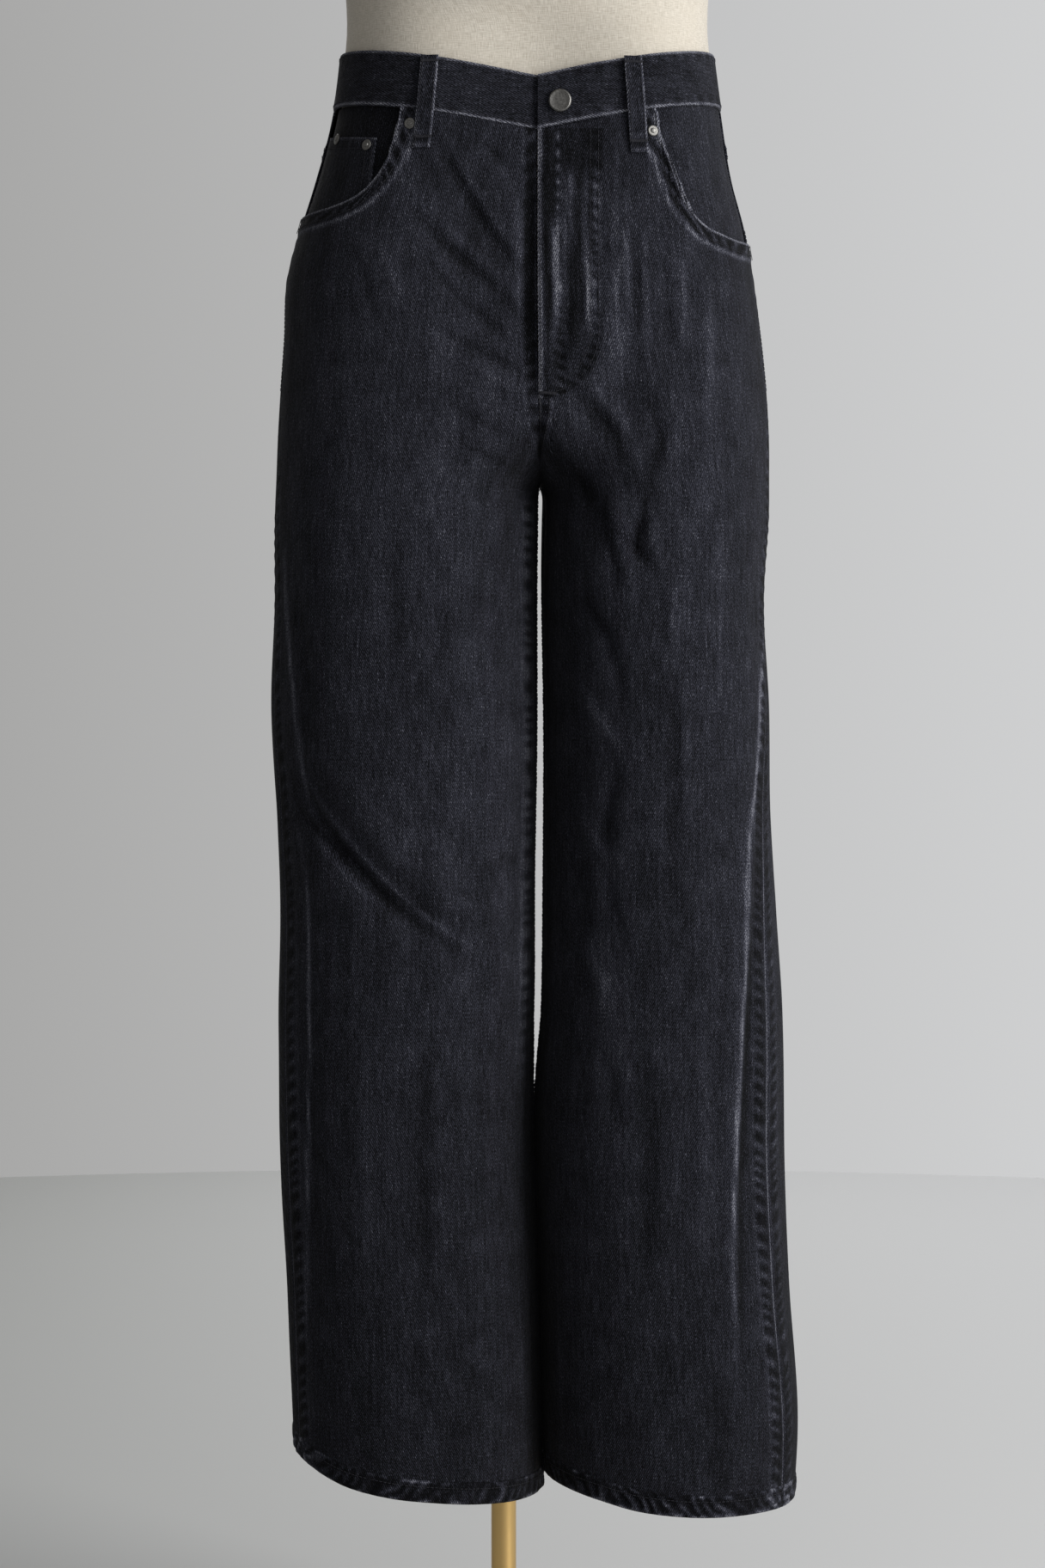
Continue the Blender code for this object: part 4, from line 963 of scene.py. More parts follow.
def spread_out(length, fine=0.0013, coarse=0.0042, border=0.0155):
    """Shares from 0 to 1, close together within a border at each end."""
    near = np.linspace(0, border, round(border / fine) + 1)
    far = np.linspace(border, length - border, round((length - 2 * border) / coarse) + 1)
    return np.concatenate([near, far[1:], length - near[:-1][::-1]]) / length


print("thickness of the cloth:", DENIM, "m")

# %% [markdown]
# ## Leg panels
#
# Each leg is a front and a back panel, sewn together down the side and the inside. Below
# the crotch the rows of the grid are level. Around the crotch they fan out, because the
# seam there runs forwards and up into the rise, and above it they spread to the slanting
# pocket mouth or to the yoke. Rows are a little over two millimetres apart.

# %% Rows of a panel


def mouth_edge(side, shares):
    """(across, height) along the pocket mouth, from the waist seam to the side seam."""
    seen = MOUTHS[side]
    path = np.column_stack([across_of_x(side, seen[:, 0], seen[:, 1]), seen[:, 1]])
    share = pocket_share(side)
    start_z = waist_seam("front", share)
    path[0] = across_at(side, "front", [share], [start_z])[0], start_z
    _, outer = Section(side, [MOUTH_END_Z[side]]).edges("front")
    path = np.vstack([path, [outer[0], MOUTH_END_Z[side]]])
    return resampled(path, shares)


def pocket_share(side):
    """Where the pocket mouth meets the waist seam, as a share of the panel's width."""
    x, z = MOUTHS[side][0]
    inner, outer = Section(side, [z]).edges("front")
    return float((across_of_x(side, [x], [z])[0] - inner[0]) / (outer[0] - inner[0]))


def top_edge(side, face, shares):
    """(share, height) of a panel's top edge for each column."""
    if face == "back":
        return shares, yoke_seam(shares) - SEAM_GAP / 2
    corner = np.searchsorted(shares, 10 / 18)
    corner_share = pocket_share(side)
    waist_shares = shares[: corner + 1] / shares[corner] * corner_share
    along = (shares[corner + 1 :] - shares[corner]) / (1 - shares[corner])
    mouth = mouth_edge(side, along)
    inner, outer = Section(side, mouth[:, 1]).edges("front")
    found = np.concatenate([waist_shares, (mouth[:, 0] - inner) / (outer - inner)])
    heights = np.concatenate([waist_seam("front", waist_shares), mouth[:, 1]])
    return found, heights - SEAM_GAP / 2


def inside_seams(side, face, shares, heights):
    """(across, height) at shares of the width, kept clear of the seams."""
    inner, outer = Section(side, heights).edges(face)
    inner, outer = inner + SEAM_GAP / 2, outer - SEAM_GAP / 2
    return np.column_stack([inner + shares * (outer - inner), heights])


def fan_row(side, face, inner_z, outer_z, leave, shares):
    """(across, height) of a row that leaves the inner edge at an angle and ends level."""
    inner, _ = Section(side, [inner_z]).edges(face)
    _, outer = Section(side, [outer_z]).edges(face)
    way = np.array([math.cos(math.radians(leave)), math.sin(math.radians(leave))])
    start = np.array([inner[0], inner_z]) + way * SEAM_GAP / 2
    end = np.array([outer[0] - SEAM_GAP / 2, outer_z])
    first, second = start + way * 0.035, end - np.array([0.090, 0])
    t = np.linspace(0, 1, 90)[:, None]
    left = 1 - t
    curve = left**3 * start + 3 * t * left**2 * first + 3 * t * t * left * second + t**3 * end
    return resampled(curve, shares)


def rise_row(side, face, turn, shares):
    """A row from a place on the rise curve, told by its turn from 0 at the crotch to 90."""
    top = FLY_BOTTOM_Z if face == "front" else SEAT_SEAM_TOP_Z
    rise = top - CROTCH_Z
    inner_z = max(top - rise * math.cos(math.radians(turn)), CROTCH_Z + 1e-5)
    reach = abs(SECTIONS[side].at(inner_z, face + "_y") - INSEAM_Y)
    angle = math.radians(max(turn, 18))
    leave = math.degrees(math.atan2(-reach * math.cos(angle), rise * math.sin(angle)))
    leave = leave + (-45 - leave) * (1 - smooth(turn / 18))
    return fan_row(side, face, inner_z, 0.938 + 0.085 * turn / 90, leave, shares)


def hem_line(side, face, shares):
    """Height of the hem's edge at shares of a panel's width."""
    level = np.full(len(shares), HEM_REFERENCE_Z)
    x = surface(side, face, across_at(side, face, shares, level), level)[0][0, :, 0]
    return HEM_LINE[side].at(x, "height")


def panel_grid(side, face):
    """(across, height) grids of a leg panel, from the hem band to its top edge."""
    shares = spread_out(0.30 if face == "front" else 0.32)
    level = np.full(len(shares), HEM_REFERENCE_Z)
    low = inside_seams(side, face, shares, level)
    low_x = surface(side, face, low[:, 0], low[:, 1])[0][0, :, 0]
    bottom = HEM_LINE[side].at(low_x, "height") + HEM_HEIGHT + SEAM_GAP
    rows = [inside_seams(side, face, shares, bottom + (LOW_BLEND_Z - bottom) * t)
            for t in np.linspace(0, 1, 36)[:-1]]
    rows += [inside_seams(side, face, shares, np.full(len(shares), z))
             for z in np.arange(LOW_BLEND_Z, 0.896, 0.0024)]
    for t in np.linspace(0, 1, 21)[:-1]:
        inner_z = np.interp(t, (0, 0.6, 1), (0.896, 0.930, CROTCH_Z))
        outer_z = np.interp(t, (0, 0.6, 1), (0.896, 0.919, 0.938))
        leave = np.interp(t, (0, 0.6, 1), (0, -20, -45))
        rows.append(fan_row(side, face, inner_z, outer_z, leave, shares))
    rows += [rise_row(side, face, turn, shares) for turn in np.linspace(0, 90, 31)]
    last = rows[-1]
    inner, outer = Section(side, last[:, 1]).edges(face)
    last_shares = (last[:, 0] - inner) / (outer - inner)
    top_shares, top_heights = top_edge(side, face, shares)
    climb = float(np.max(top_heights - last[:, 1]))
    for t in spread_out(climb, 0.0016, 0.0028, 0.014)[1:]:
        mixed = last_shares + (top_shares - last_shares) * t
        mixed[0], mixed[-1] = 0, 1
        rows.append(inside_seams(side, face, mixed, last[:, 1] + (top_heights - last[:, 1]) * t))
    grid = np.array(rows)
    return grid[..., 0], grid[..., 1]


# %% [markdown]
# The cloth's lightness follows what washing and wear do: the rims of seams wear light and the
# beads between two rows of stitches stay black. Ridges are lighter and the floor of a crease darker,
# partly from wear and partly as painted shade, and the sides of the legs are painted darker as painted
# shade.

# %% Wear, painted shade and the pocket mouth's rolled edge


def mouth_distance(side, across, height):
    """How far each place of a front panel is from the pocket mouth."""
    edge = mouth_edge(side, np.linspace(0, 1, 80))
    places = np.stack([across, height], axis=-1)
    found = np.full(np.shape(across), 1.0)
    near = height > MOUTH_END_Z[side] - 0.05
    found[near] = np.linalg.norm(places[near][:, None, :] - edge, axis=-1).min(axis=-1)
    return found


# Under each side and face: half width, lightness in thousandths, and path.
# Worn seam edges and ridges, partly painted highlight; the line with negative lightness is painted
# shade in the fold before the left side seam.
RUB_AND_LIGHT_LINES = paths_in_mm("""
left front
1.4 850  201 880  200.4 855.1  195.4 790.4  194 741.6  185.9 676.9  184.1 595.7
     179.5 490.1  175.6 384.5  177.5 280
2.2 -300  198.5 760  191.5 676.9  189.5 595.7  185 490.1  181.2 384.5  183 280
right front
1.6 700  -169 900  -167.6 867  -162.7 802.3  -157.9 753.4  -154.6 721.1  -150 700
1.6 600  -166 720  -162.7 698.7  -153.1 656.4  -149.8 575.2  -152 450  -153 300
1.3 260  -156 733  -148 718  -120.1 679  -90.7 646.2  -58.3 617.2  -22.7 591.4
6 220  -6 1196  6 1188  13 1172
2.2 220  12.5 1150  12 1100  13 1050
left front
17 270  82 920  80 840  78.5 740  78 640  80 520  86 380
1.5 180  92 1165  93.5 1125  96 1080
1.5 160  107.5 1140  108.5 1090  110 1040
2 180  136 1125  137.5 1090  137 1050
1.6 110  154 1110  156 1050  154 990
1.4 120  130 890  129.1 850  131 810
1.4 180  140 810  138.8 750  140 680
1.6 180  164 930  166 860  164 780
right back
1.4 280  10 601  -35 626  -85 660  -134 712
left back
1.4 280  38 609  88 632  138 664  186 708
right back
2 200  6 985  -30 958  -80 944  -120 946
left back
2 200  22 986  60 956  110 942  150 946
""")
RUB_AND_LIGHT_PATHS = [(side, face, half, amount, drawn(path, face))
             for side, face, half, amount, path in RUB_AND_LIGHT_LINES]


def rubbed_and_painted_light(side, face, points, normals):
    """Extra lightness along the lines that rub most, partly painted highlight on lit ridges; a line
    with negative lightness is painted shade.
    """
    total = np.zeros(points.shape[:-1])
    seen = points[..., [0, 2]]
    outward = normals[..., 1] < 0.1 if face == "front" else normals[..., 1] > -0.1
    for path_side, path_face, half, amount, path in RUB_AND_LIGHT_PATHS:
        if (path_side, path_face) != (side, face):
            continue
        low, high = path.min(axis=0) - 3 * half, path.max(axis=0) + 3 * half
        near = ((seen > low) & (seen < high)).all(axis=-1) & outward
        if near.any():
            away, along = from_path(seen[near], path)
            patchy = 0.85 + 0.35 * ripple(points[near], (0.01, 0.01, 0.03))
            ends = np.sin(np.pi * np.clip(along, 0.02, 0.98)) ** 0.5
            total[near] += amount * patchy * ends * line_at(away, 0, half)
    return total


def base_wear_and_shade(side, face, facts, height):
    inner, outer = facts["inner"], facts["outer"]
    points, normals = facts["points"], facts["normals"]
    # Painted shade and light: creases are painted darker and ridges and swellings lighter, on top of
    # their wear.
    wear_and_shade = 0.40 + 55 * facts["swell"]
    wear_and_shade -= np.clip(facts["depth"] * 18, -0.14, 0.20)
    wear_and_shade -= np.clip(facts["narrow"] * 75, -0.30, 0.24)
    # Thighs, knees and seat rub lighter. The sides, which turn away from the front, are painted darker
    # as painted shade.
    thigh = line_at(points[..., 2], 0.98, 0.20) * np.clip(-normals[..., 1], 0, 1) ** 2
    seat = line_at(points[..., 2], 1.05, 0.10) * np.clip(normals[..., 1], 0, 1) ** 2
    wear_and_shade += 0.10 * thigh + 0.06 * seat - 0.10 * (1 - np.abs(normals[..., 1])) ** 2
    # Darker towards the hem.
    wear_and_shade -= 0.11 * smooth((0.60 - points[..., 2]) / 0.40)
    # Lines of wear, partly painted highlight and painted shade.
    wear_and_shade += rubbed_and_painted_light(side, face, points, normals)
    # Rims of the seams.
    beads = pucker(height + inner * 0.4, INNER_BEADS)
    wear_and_shade += 0.45 * line_at(inner, 0.0008, 0.0014) - 0.16 * line_at(inner, 0.005, 0.0030)
    wear_and_shade += 0.34 * beads * line_at(inner, 0.005, 0.0042) + 0.18 * line_at(inner, 0.0105, 0.0015)
    beads = pucker(height - outer * 0.5, OUTER_BEADS)
    share = 1.0 if face == "front" else 0.25
    wear_and_shade += share * 0.75 * line_at(outer, 0.0006, 0.0013) - 0.18 * line_at(outer, 0.0075, 0.0045)
    wear_and_shade += 0.60 * beads * line_at(outer, 0.0100, 0.0046)
    wear_and_shade += share * 0.20 * line_at(outer, 0.0172, 0.0018)
    # The felled inseam draws short teeth into the cloth as far as the leg's inner outline.
    # Along that outline the cloth is also painted lighter, as painted light where the other leg shades
    # it.
    if (side, face) == ("right", "front"):
        outline = MIDDLE.at(height, "x") - points[..., 0]
        teeth = np.minimum(pucker(height + 0.002 * np.sin(height * 90), INNER_BEADS) + 0.2, 0.3)
        below_crotch = (1 - smooth((height - 0.925) / 0.02)) * smooth((height - 0.47) / 0.10)
        painted_light_and_seam_rim = 0.30 * line_at(outline, 0.004, 0.010) + 0.20 * line_at(outline, 0.0135, 0.0015)
        wear_and_shade += below_crotch * painted_light_and_seam_rim
        wear_and_shade += below_crotch * (0.85 * teeth * line_at(outline, 0.0090, 0.0032))
    return wear_and_shade


# %% Soften the crotch
SOFTENING_PASSES = 60


def softened(points, height):
    """Rounds off the ledge that the cut leaves beside the crotch, keeping the edges."""
    points = points.copy()
    weight = 0.5 * line_at(height, 0.954, 0.016)[1:-1, 1:-1, None]
    for _ in range(SOFTENING_PASSES):
        around = points[:-2, 1:-1] + points[2:, 1:-1] + points[1:-1, :-2] + points[1:-1, 2:]
        points[1:-1, 1:-1] += weight * (around / 4 - points[1:-1, 1:-1])
    return points


print("passes:", SOFTENING_PASSES)

# %% Make the four leg panels
for side in SIDES:
    for face in ("front", "back"):
        across, height = panel_grid(side, face)
        points, facts = cloth(side, face, across, height)
        points = softened(points, height)
        wear_and_shade = base_wear_and_shade(side, face, facts, height)
        if face == "front":
            away = mouth_distance(side, across, height)
            run = SIGN[side] * across
            rolled = 1 - smooth((away - 0.0115) / 0.0025)
            beads = pucker(run + height * 0.7, 0.0085)
            lift = 0.00055 * rolled + 0.00045 * beads * line_at(away, 0.006, 0.0040)
            points = points + facts["normals"] * lift[..., None]
            wear_and_shade += 1.00 * line_at(away, 0.0004, 0.0017) - 0.26 * line_at(away, 0.006, 0.0036)
            wear_and_shade += 0.95 * beads * line_at(away, 0.006, 0.0040) + 0.50 * line_at(away, 0.0128, 0.0018)
            above_fly = smooth((height - 1.01) / 0.02)
            if side == "right":
                # Painted shadow along the right front's edge, where it goes under the fly flap.
                wear_and_shade -= 0.35 * above_fly * line_at(facts["inner"], 0.0, 0.006)
            else:
                on_rise = smooth((height - 0.953) / 0.004) * (1 - above_fly)
                wear_and_shade += 0.35 * line_at(facts["inner"], 0.0006, 0.0014) * on_rise
                beside_fly = above_fly * (1 - smooth((height - 1.18) / 0.02))
                rail = line_at(facts["inner"], 0.059, 0.0034) * beside_fly
                wear_and_shade += 0.26 * rail * (0.7 + ripple(points, (0.004, 0.004, 0.03)))
        chart = np.stack([across, height], axis=-1)
        piece = cloth_piece(f"denim_{face}_{side}", f"{face}_{side}", points, chart, wear_and_shade)
        cut(piece, points, flat_size(chart))

# %% [markdown]
# ## Yokes and hem bands
#
# The yoke is the wedge above each back panel that shapes the seat. The hem is the cloth
# turned up twice and sewn once. A sewn hem shrinks more than the cloth in it when it is
# washed, and the strip then twists into slanting ropes, which rub light on their tops.

# %% Yokes
for side in SIDES:
    shares = spread_out(0.20, 0.0016, 0.0036, 0.014)
    low = yoke_seam(shares) + SEAM_GAP / 2
    high = waist_seam("back", shares) - SEAM_GAP / 2
    climbs = np.linspace(0, 1, 28)
    grid = np.array([inside_seams(side, "back", shares, low + (high - low) * t) for t in climbs])
    points, facts = cloth(side, "back", grid[..., 0], grid[..., 1])
    above = grid[..., 1] - low
    beads = pucker(grid[..., 0] + 0.3 * above, 0.011)
    lift = 0.0005 * (1 - smooth((above - 0.0085) / 0.003))
    lift += 0.0003 * beads * line_at(above, 0.005, 0.004)
    points = points + facts["normals"] * lift[..., None]
    wear_and_shade = base_wear_and_shade(side, "back", facts, grid[..., 1]) + 0.22 * line_at(above, 0.0006, 0.0012)
    wear_and_shade += 0.15 * beads * line_at(above, 0.005, 0.004)
    piece = cloth_piece(f"denim_yoke_{side}", f"yoke_{side}", points, grid, wear_and_shade)
    cut(piece, points, flat_size(grid))

# %% Hem bands
for side in SIDES:
    outer_rows, charts, fades = [], [], []
    profile = [(0.0, -0.0012), (0.02, -0.0003), (0.07, 0.0003)]
    profile += [(t, 0.0005) for t in np.linspace(0.14, 0.93, 11)]
    profile += [(1.0, 0.0002), (1.05, -0.0016), (1.2, -0.0017)]
    for rise, proud in profile:
        ring, chart, shade, start = [], [], [], 0.0
        orders = {"front": np.linspace(0, 1, 150)[:-1], "back": np.linspace(0, 1, 160)[:0:-1]}
        for face, order in orders.items():
            z = hem_line(side, face, order) + HEM_HEIGHT * rise
            across = across_at(side, face, order, z)
            points, facts = cloth(side, face, across[None], z[None], proud)
            run = start + np.abs(across - across[0])
            start = run[-1]
            wander = ripple(points[0], (0.020, 0.020, 0.030))
            rope = pucker(run + 0.006 * wander + (0.7 + 0.6 * wander) * HEM_HEIGHT * rise, 0.0105)
            rope = rope * (0.75 + 0.6 * ripple(points[0], (0.016, 0.016, 0.040)))
            body = np.sin(np.pi * np.clip(rise, 0.03, 0.999)) ** 0.7
            ring.append(points[0] + facts["normals"][0] * (0.0010 * rope * body)[:, None])
            chart.append(np.column_stack([run, z]))
            rim = 0.40 * line_at(rise, 0.05, 0.09) + 0.24 * line_at(rise, 0.93, 0.07)
            from_seam = np.minimum(run - run[0], run[-1] - run)
            flecks = ripple(points[0], (0.0035, 0.0035, 0.0030))
            patchy = ripple(points[0], (0.012, 0.012, 0.006))
            tone = 0.18 + 0.44 * rope * (0.35 + body) + 1.3 * rim * (0.7 + patchy + flecks)
            tone += 0.22 * patchy + 0.20 * flecks - 0.16 * line_at(rise, 0.72, 0.10)
            shade.append(tone + 0.55 * line_at(from_seam, 0.006, 0.014) * (0.8 + flecks))
        outer_rows.append(np.concatenate(ring))
        charts.append(np.concatenate(chart))
        fades.append(np.concatenate(shade))
    points, chart = np.array(outer_rows), np.array(charts)
    piece = cloth_piece(f"denim_hem_{side}", f"hem_{side}", points, chart, np.array(fades),
                        thickness=0.0024, ring=True)
    girth = float(np.linalg.norm(np.diff(points[6], axis=0), axis=1).sum())
    cut(piece, points, (girth, HEM_HEIGHT + 0.002))

# %% [markdown]
# ## Waistband, fly, pockets and loops
#
# The waistband is a folded strip, lapped at the front with the wearer's left end on top.
# The fly's flap is the left front's own folded edge. It stands a little over the right
# front, and its curved line of stitches holds the zip's tape behind. The pocket facing behind
# the wearer's right mouth is painted dark, as painted shade inside the mouth.

# %% Waistband
steps = np.linspace(0, 1, 60)
band_path = [("left", "front", s) for s in steps] + [("left", "back", s) for s in steps[-2:0:-1]]
band_path += [("right", "back", s) for s in steps[:-1]] + [("right", "front", s) for s in steps[::-1]]
left_width = float(np.ptp(across_at("left", "front", [0, 1], [WAIST_SIDE_Z] * 2)))
lap_start = len(band_path)
band_path += [("left", "front", LAP_LENGTH * t / left_width) for t in np.linspace(0.05, 1, 14)]
rises = spread_out(BAND_HEIGHT, 0.0011, 0.0030, 0.006)
columns = []
band_shares = np.array([share for _, _, share in band_path])
for side in SIDES:
    for face in ("front", "back"):
        picked = [k for k, (s, f, _) in enumerate(band_path) if (s, f) == (side, face)]
        shares = band_shares[picked]
        seam = waist_seam(face, shares) + SEAM_GAP / 2
        heights = seam[None, :] + BAND_HEIGHT * rises[:, None]
        across = across_at(side, face, np.broadcast_to(shares, heights.shape), heights.ravel())
        across = across.reshape(heights.shape)
        points, normals, _, _ = surface(side, face, across, heights)
        depth, _ = fold_depth(face, points, normals)
        for column, k in enumerate(picked):
            facts = (points, normals, depth, heights)
            columns.append((k, *(fact[:, column] for fact in facts)))
columns.sort(key=lambda column: column[0])
points, normals, depth, heights = (
    np.moveaxis(np.array([column[k] for column in columns]), 0, 1) for k in (1, 2, 3, 4)
)
run = run_along(points[3])
on_top = np.array([(side, face) == ("left", "front") and k < lap_start
                   for k, (side, face, _) in enumerate(band_path)])
from_end = np.where(on_top, band_shares * left_width, 1)
lift = (BAND_WALL + LAYER_GAP) * (1 - smooth((from_end - LAP_LENGTH - 0.003) / LAP_RAMP))
edge = (np.minimum(rises, 1 - rises) * BAND_HEIGHT)[:, None]
beads = pucker(run[None, :] + 0.4 * rises[:, None] * BAND_HEIGHT, 0.0130)
crown = 0.00035 * smooth(edge / 0.003) - 0.0004 + 0.00022 * beads * line_at(edge, 0.0035, 0.003)
points = points + normals * (BAND_PROUD + lift[None, :] + crown - depth)[..., None]
tucked = points[:1] - normals[:1] * 0.0016 - [0, 0, 0.0010]
points = np.concatenate([tucked, points])
heights = np.concatenate([heights[:1] - 0.001, heights])
chart = np.stack(np.broadcast_arrays(heights, -run[None, :]), axis=-1)
wear_and_shade = 0.36 + 0.85 * line_at(edge, 0.0003, 0.0014) + 0.20 * beads * line_at(edge, 0.004, 0.003)
wear_and_shade = np.concatenate([wear_and_shade[:1] * 0.3, wear_and_shade])
waistband = cloth_piece("denim_waistband", "waistband", points, chart, wear_and_shade, thickness=0.0022)
cut(waistband, points, (float(run[-1]), BAND_HEIGHT))
band_points = points

# %% Fly flap
FLY_WIDTH, FLY_CURVE = 0.048, 0.050
fly_low, fly_top = FLY_BOTTOM_Z - 0.004, WAIST_FRONT_Z - SEAM_GAP


def fly_width(height):
    curve = np.clip((fly_low + FLY_CURVE - height) / (FLY_CURVE * 1.01), 0, 1)
    return FLY_WIDTH * np.sqrt(1 - curve**2)


climbs = np.concatenate([np.linspace(0, 0.34, 40) ** 1.5, np.linspace(0.21, 1, 52)])
climbs = np.unique(np.round(climbs, 5))
heights = fly_low + (fly_top - fly_low) * climbs
shares = spread_out(FLY_WIDTH, 0.0010, 0.0018, 0.008)
inner, _ = Section("left", heights).edges("front")
from_edge = np.outer(fly_width(heights), shares)
across = (inner + SEAM_GAP / 2)[:, None] + from_edge
height = np.repeat(heights[:, None], len(shares), axis=1)
to_curve = np.minimum(fly_width(heights)[:, None] - from_edge, 1.6 * (height - fly_low))
taper = smooth((to_curve - 0.0010) / 0.012)
points, facts = cloth("left", "front", across, height)
beads = pucker(height + 0.5 * from_edge, 0.0098)
abrasion = ripple(np.stack([from_edge, height * 0, height], axis=-1), (0.0042, 1, 0.09))
out = 0.00135 + (FLY_GAP + DENIM - 0.00135) * taper + 0.00035 * abrasion * taper
out += 0.00030 * beads * line_at(to_curve, 0.0052, 0.004)
out += 0.0002 * beads * line_at(from_edge, 0.003, 0.003)
points = points + facts["normals"] * out[..., None]
worn = smooth((height - 1.030) / 0.05) * (1 - smooth((height - 1.165) / 0.025))
wear_and_shade = 0.38 + 0.50 * worn * np.clip(abrasion, -0.6, 1) + 1.25 * line_at(from_edge, 0.0006, 0.0024)
patch = smooth((height - 1.030) / 0.03) * (1 - smooth((height - 1.130) / 0.02))
streaks = ripple(np.stack([from_edge, height * 0, height], axis=-1), (0.0022, 1, 0.035))
wear_and_shade += (0.34 + 0.5 * streaks) * patch * line_at(from_edge, 0.0150, 0.0065)
wear_and_shade += (0.42 + 0.4 * streaks) * worn * line_at(from_edge, 0.0355, 0.0034)
wear_and_shade += 0.60 * (0.6 + beads) * line_at(from_edge, 0.0150, 0.0020) * smooth((height - 1.125) / 0.01)
wear_and_shade += (0.30 + 0.3 * streaks) * worn * line_at(from_edge, 0.0440, 0.0024)
wear_and_shade -= 0.12 * line_at(from_edge, 0.0070, 0.0030)
wear_and_shade += 0.45 * beads * line_at(from_edge, 0.0165, 0.0035) * (1 - smooth((height - 1.085) / 0.02))
wear_and_shade += 0.40 * beads * line_at(to_curve, 0.0052, 0.0036) - 0.20 * line_at(to_curve, 0.0052, 0.0036)
# Painted shade in the creases across the flap, lighter on its ridges; the flap is also darker near its
# top and near its bottom.
wear_and_shade -= np.clip(facts["narrow"] * 110, -0.2, 0.3) + 0.20 * smooth((height - 1.165) / 0.02)
wear_and_shade -= 0.03 * (1 - smooth((height - 1.02) / 0.04))
chart = np.stack([across, height], axis=-1)
fly = cloth_piece("denim_fly", "fly", points, chart, wear_and_shade, thickness=0.0009)
cut(fly, points, (FLY_WIDTH, float(np.ptp(heights))))

# %% Pocket facings and coin pocket
FACING_TUCK = 0.0025
FACING_LAP = {"waist": 0.014, "below_waist": 0.006, "below_side": 0.022}
FACING_OUT = {"left": -DENIM - LAYER_GAP, "right": -2 * (DENIM + LAYER_GAP)}
for side in SIDES:
    shares = np.linspace(0, 1, 44)
    mouth = mouth_edge(side, shares)
    lap = np.interp(shares, [0, 1], [FACING_LAP["below_waist"], FACING_LAP["below_side"]])
    low = mouth - np.column_stack([FACING_LAP["waist"] * (1 - shares), lap])
    low[:, 0] += FACING_TUCK * shares
    level = np.full(44, WAIST_SIDE_Z)
    inner, outer = Section(side, level).edges("front")
    start = mouth[0, 0] - FACING_LAP["waist"]
    top_across = start + (outer + FACING_TUCK - start) * shares
    top = waist_seam("front", (top_across - inner) / (outer - inner)) - SEAM_GAP
    high = np.column_stack([top_across, top])
    grid = np.array([low + (high - low) * t for t in np.linspace(0, 1, 36)])
    points, _, _, outer = surface(side, "front", grid[..., 0], grid[..., 1])
    swell = 0.0002 * ripple(points, (0.02, 0.02, 0.03))
    points, _ = pressed(side, "front", grid[..., 0], grid[..., 1], FACING_OUT[side] + swell)
    # The facing behind the wearer's right mouth is painted darker, as painted shade inside the mouth.
    wear_and_shade = (0.14 if side == "right" else 0.40) + 0.10 * line_at(outer, 0.002, 0.002)
    piece = cloth_piece(f"denim_facing_{side}", f"pocket_facing_{side}", points, grid, wear_and_shade, 0.0012)
    cut(piece, points, flat_size(grid))

COIN = {"low_z": 1.147, "top_z": 1.2035, "top_rise": 0.0105, "inner_x": -0.1015,
        "inner_lean": 0.006, "outer_gap": 0.002}
shares = np.linspace(0, 1, 26)
coin_grid = np.zeros((26, 26, 2))
for row, t in enumerate(shares):
    for column, s in enumerate(shares):
        top_z = COIN["top_z"] + COIN["top_rise"] * s
        z = COIN["low_z"] + (top_z - COIN["low_z"]) * t
        inner = across_of_x("right", [COIN["inner_x"] + COIN["inner_lean"] * t], [z])[0]
        outer = Section("right", [z]).edges("front")[1][0] - COIN["outer_gap"]
        coin_grid[row, column] = inner + (outer - inner) * s, z
from_top = (1 - shares)[:, None] * 0.062 + 0 * coin_grid[..., 0]
from_side = shares[None, :] * float(np.ptp(coin_grid[0, :, 0])) + 0 * coin_grid[..., 0]
beads = pucker(from_side, 0.008)
out = -DENIM - LAYER_GAP - 0.0001 + 0.0002 * beads * line_at(from_top, 0.005, 0.004)
points, _ = pressed("right", "front", coin_grid[..., 0], coin_grid[..., 1], out)
wear_and_shade = 0.28 + 0.60 * line_at(from_top, 0.0004, 0.0014) + 0.30 * line_at(from_side, 0.0005, 0.0012)
wear_and_shade += 0.18 * beads * line_at(from_top, 0.005, 0.004) + 0.12 * line_at(from_top, 0.011, 0.0014)
coin = cloth_piece("denim_coin_pocket_right", "coin_pocket", points, coin_grid, wear_and_shade, 0.0011)
cut(coin, points, flat_size(coin_grid))

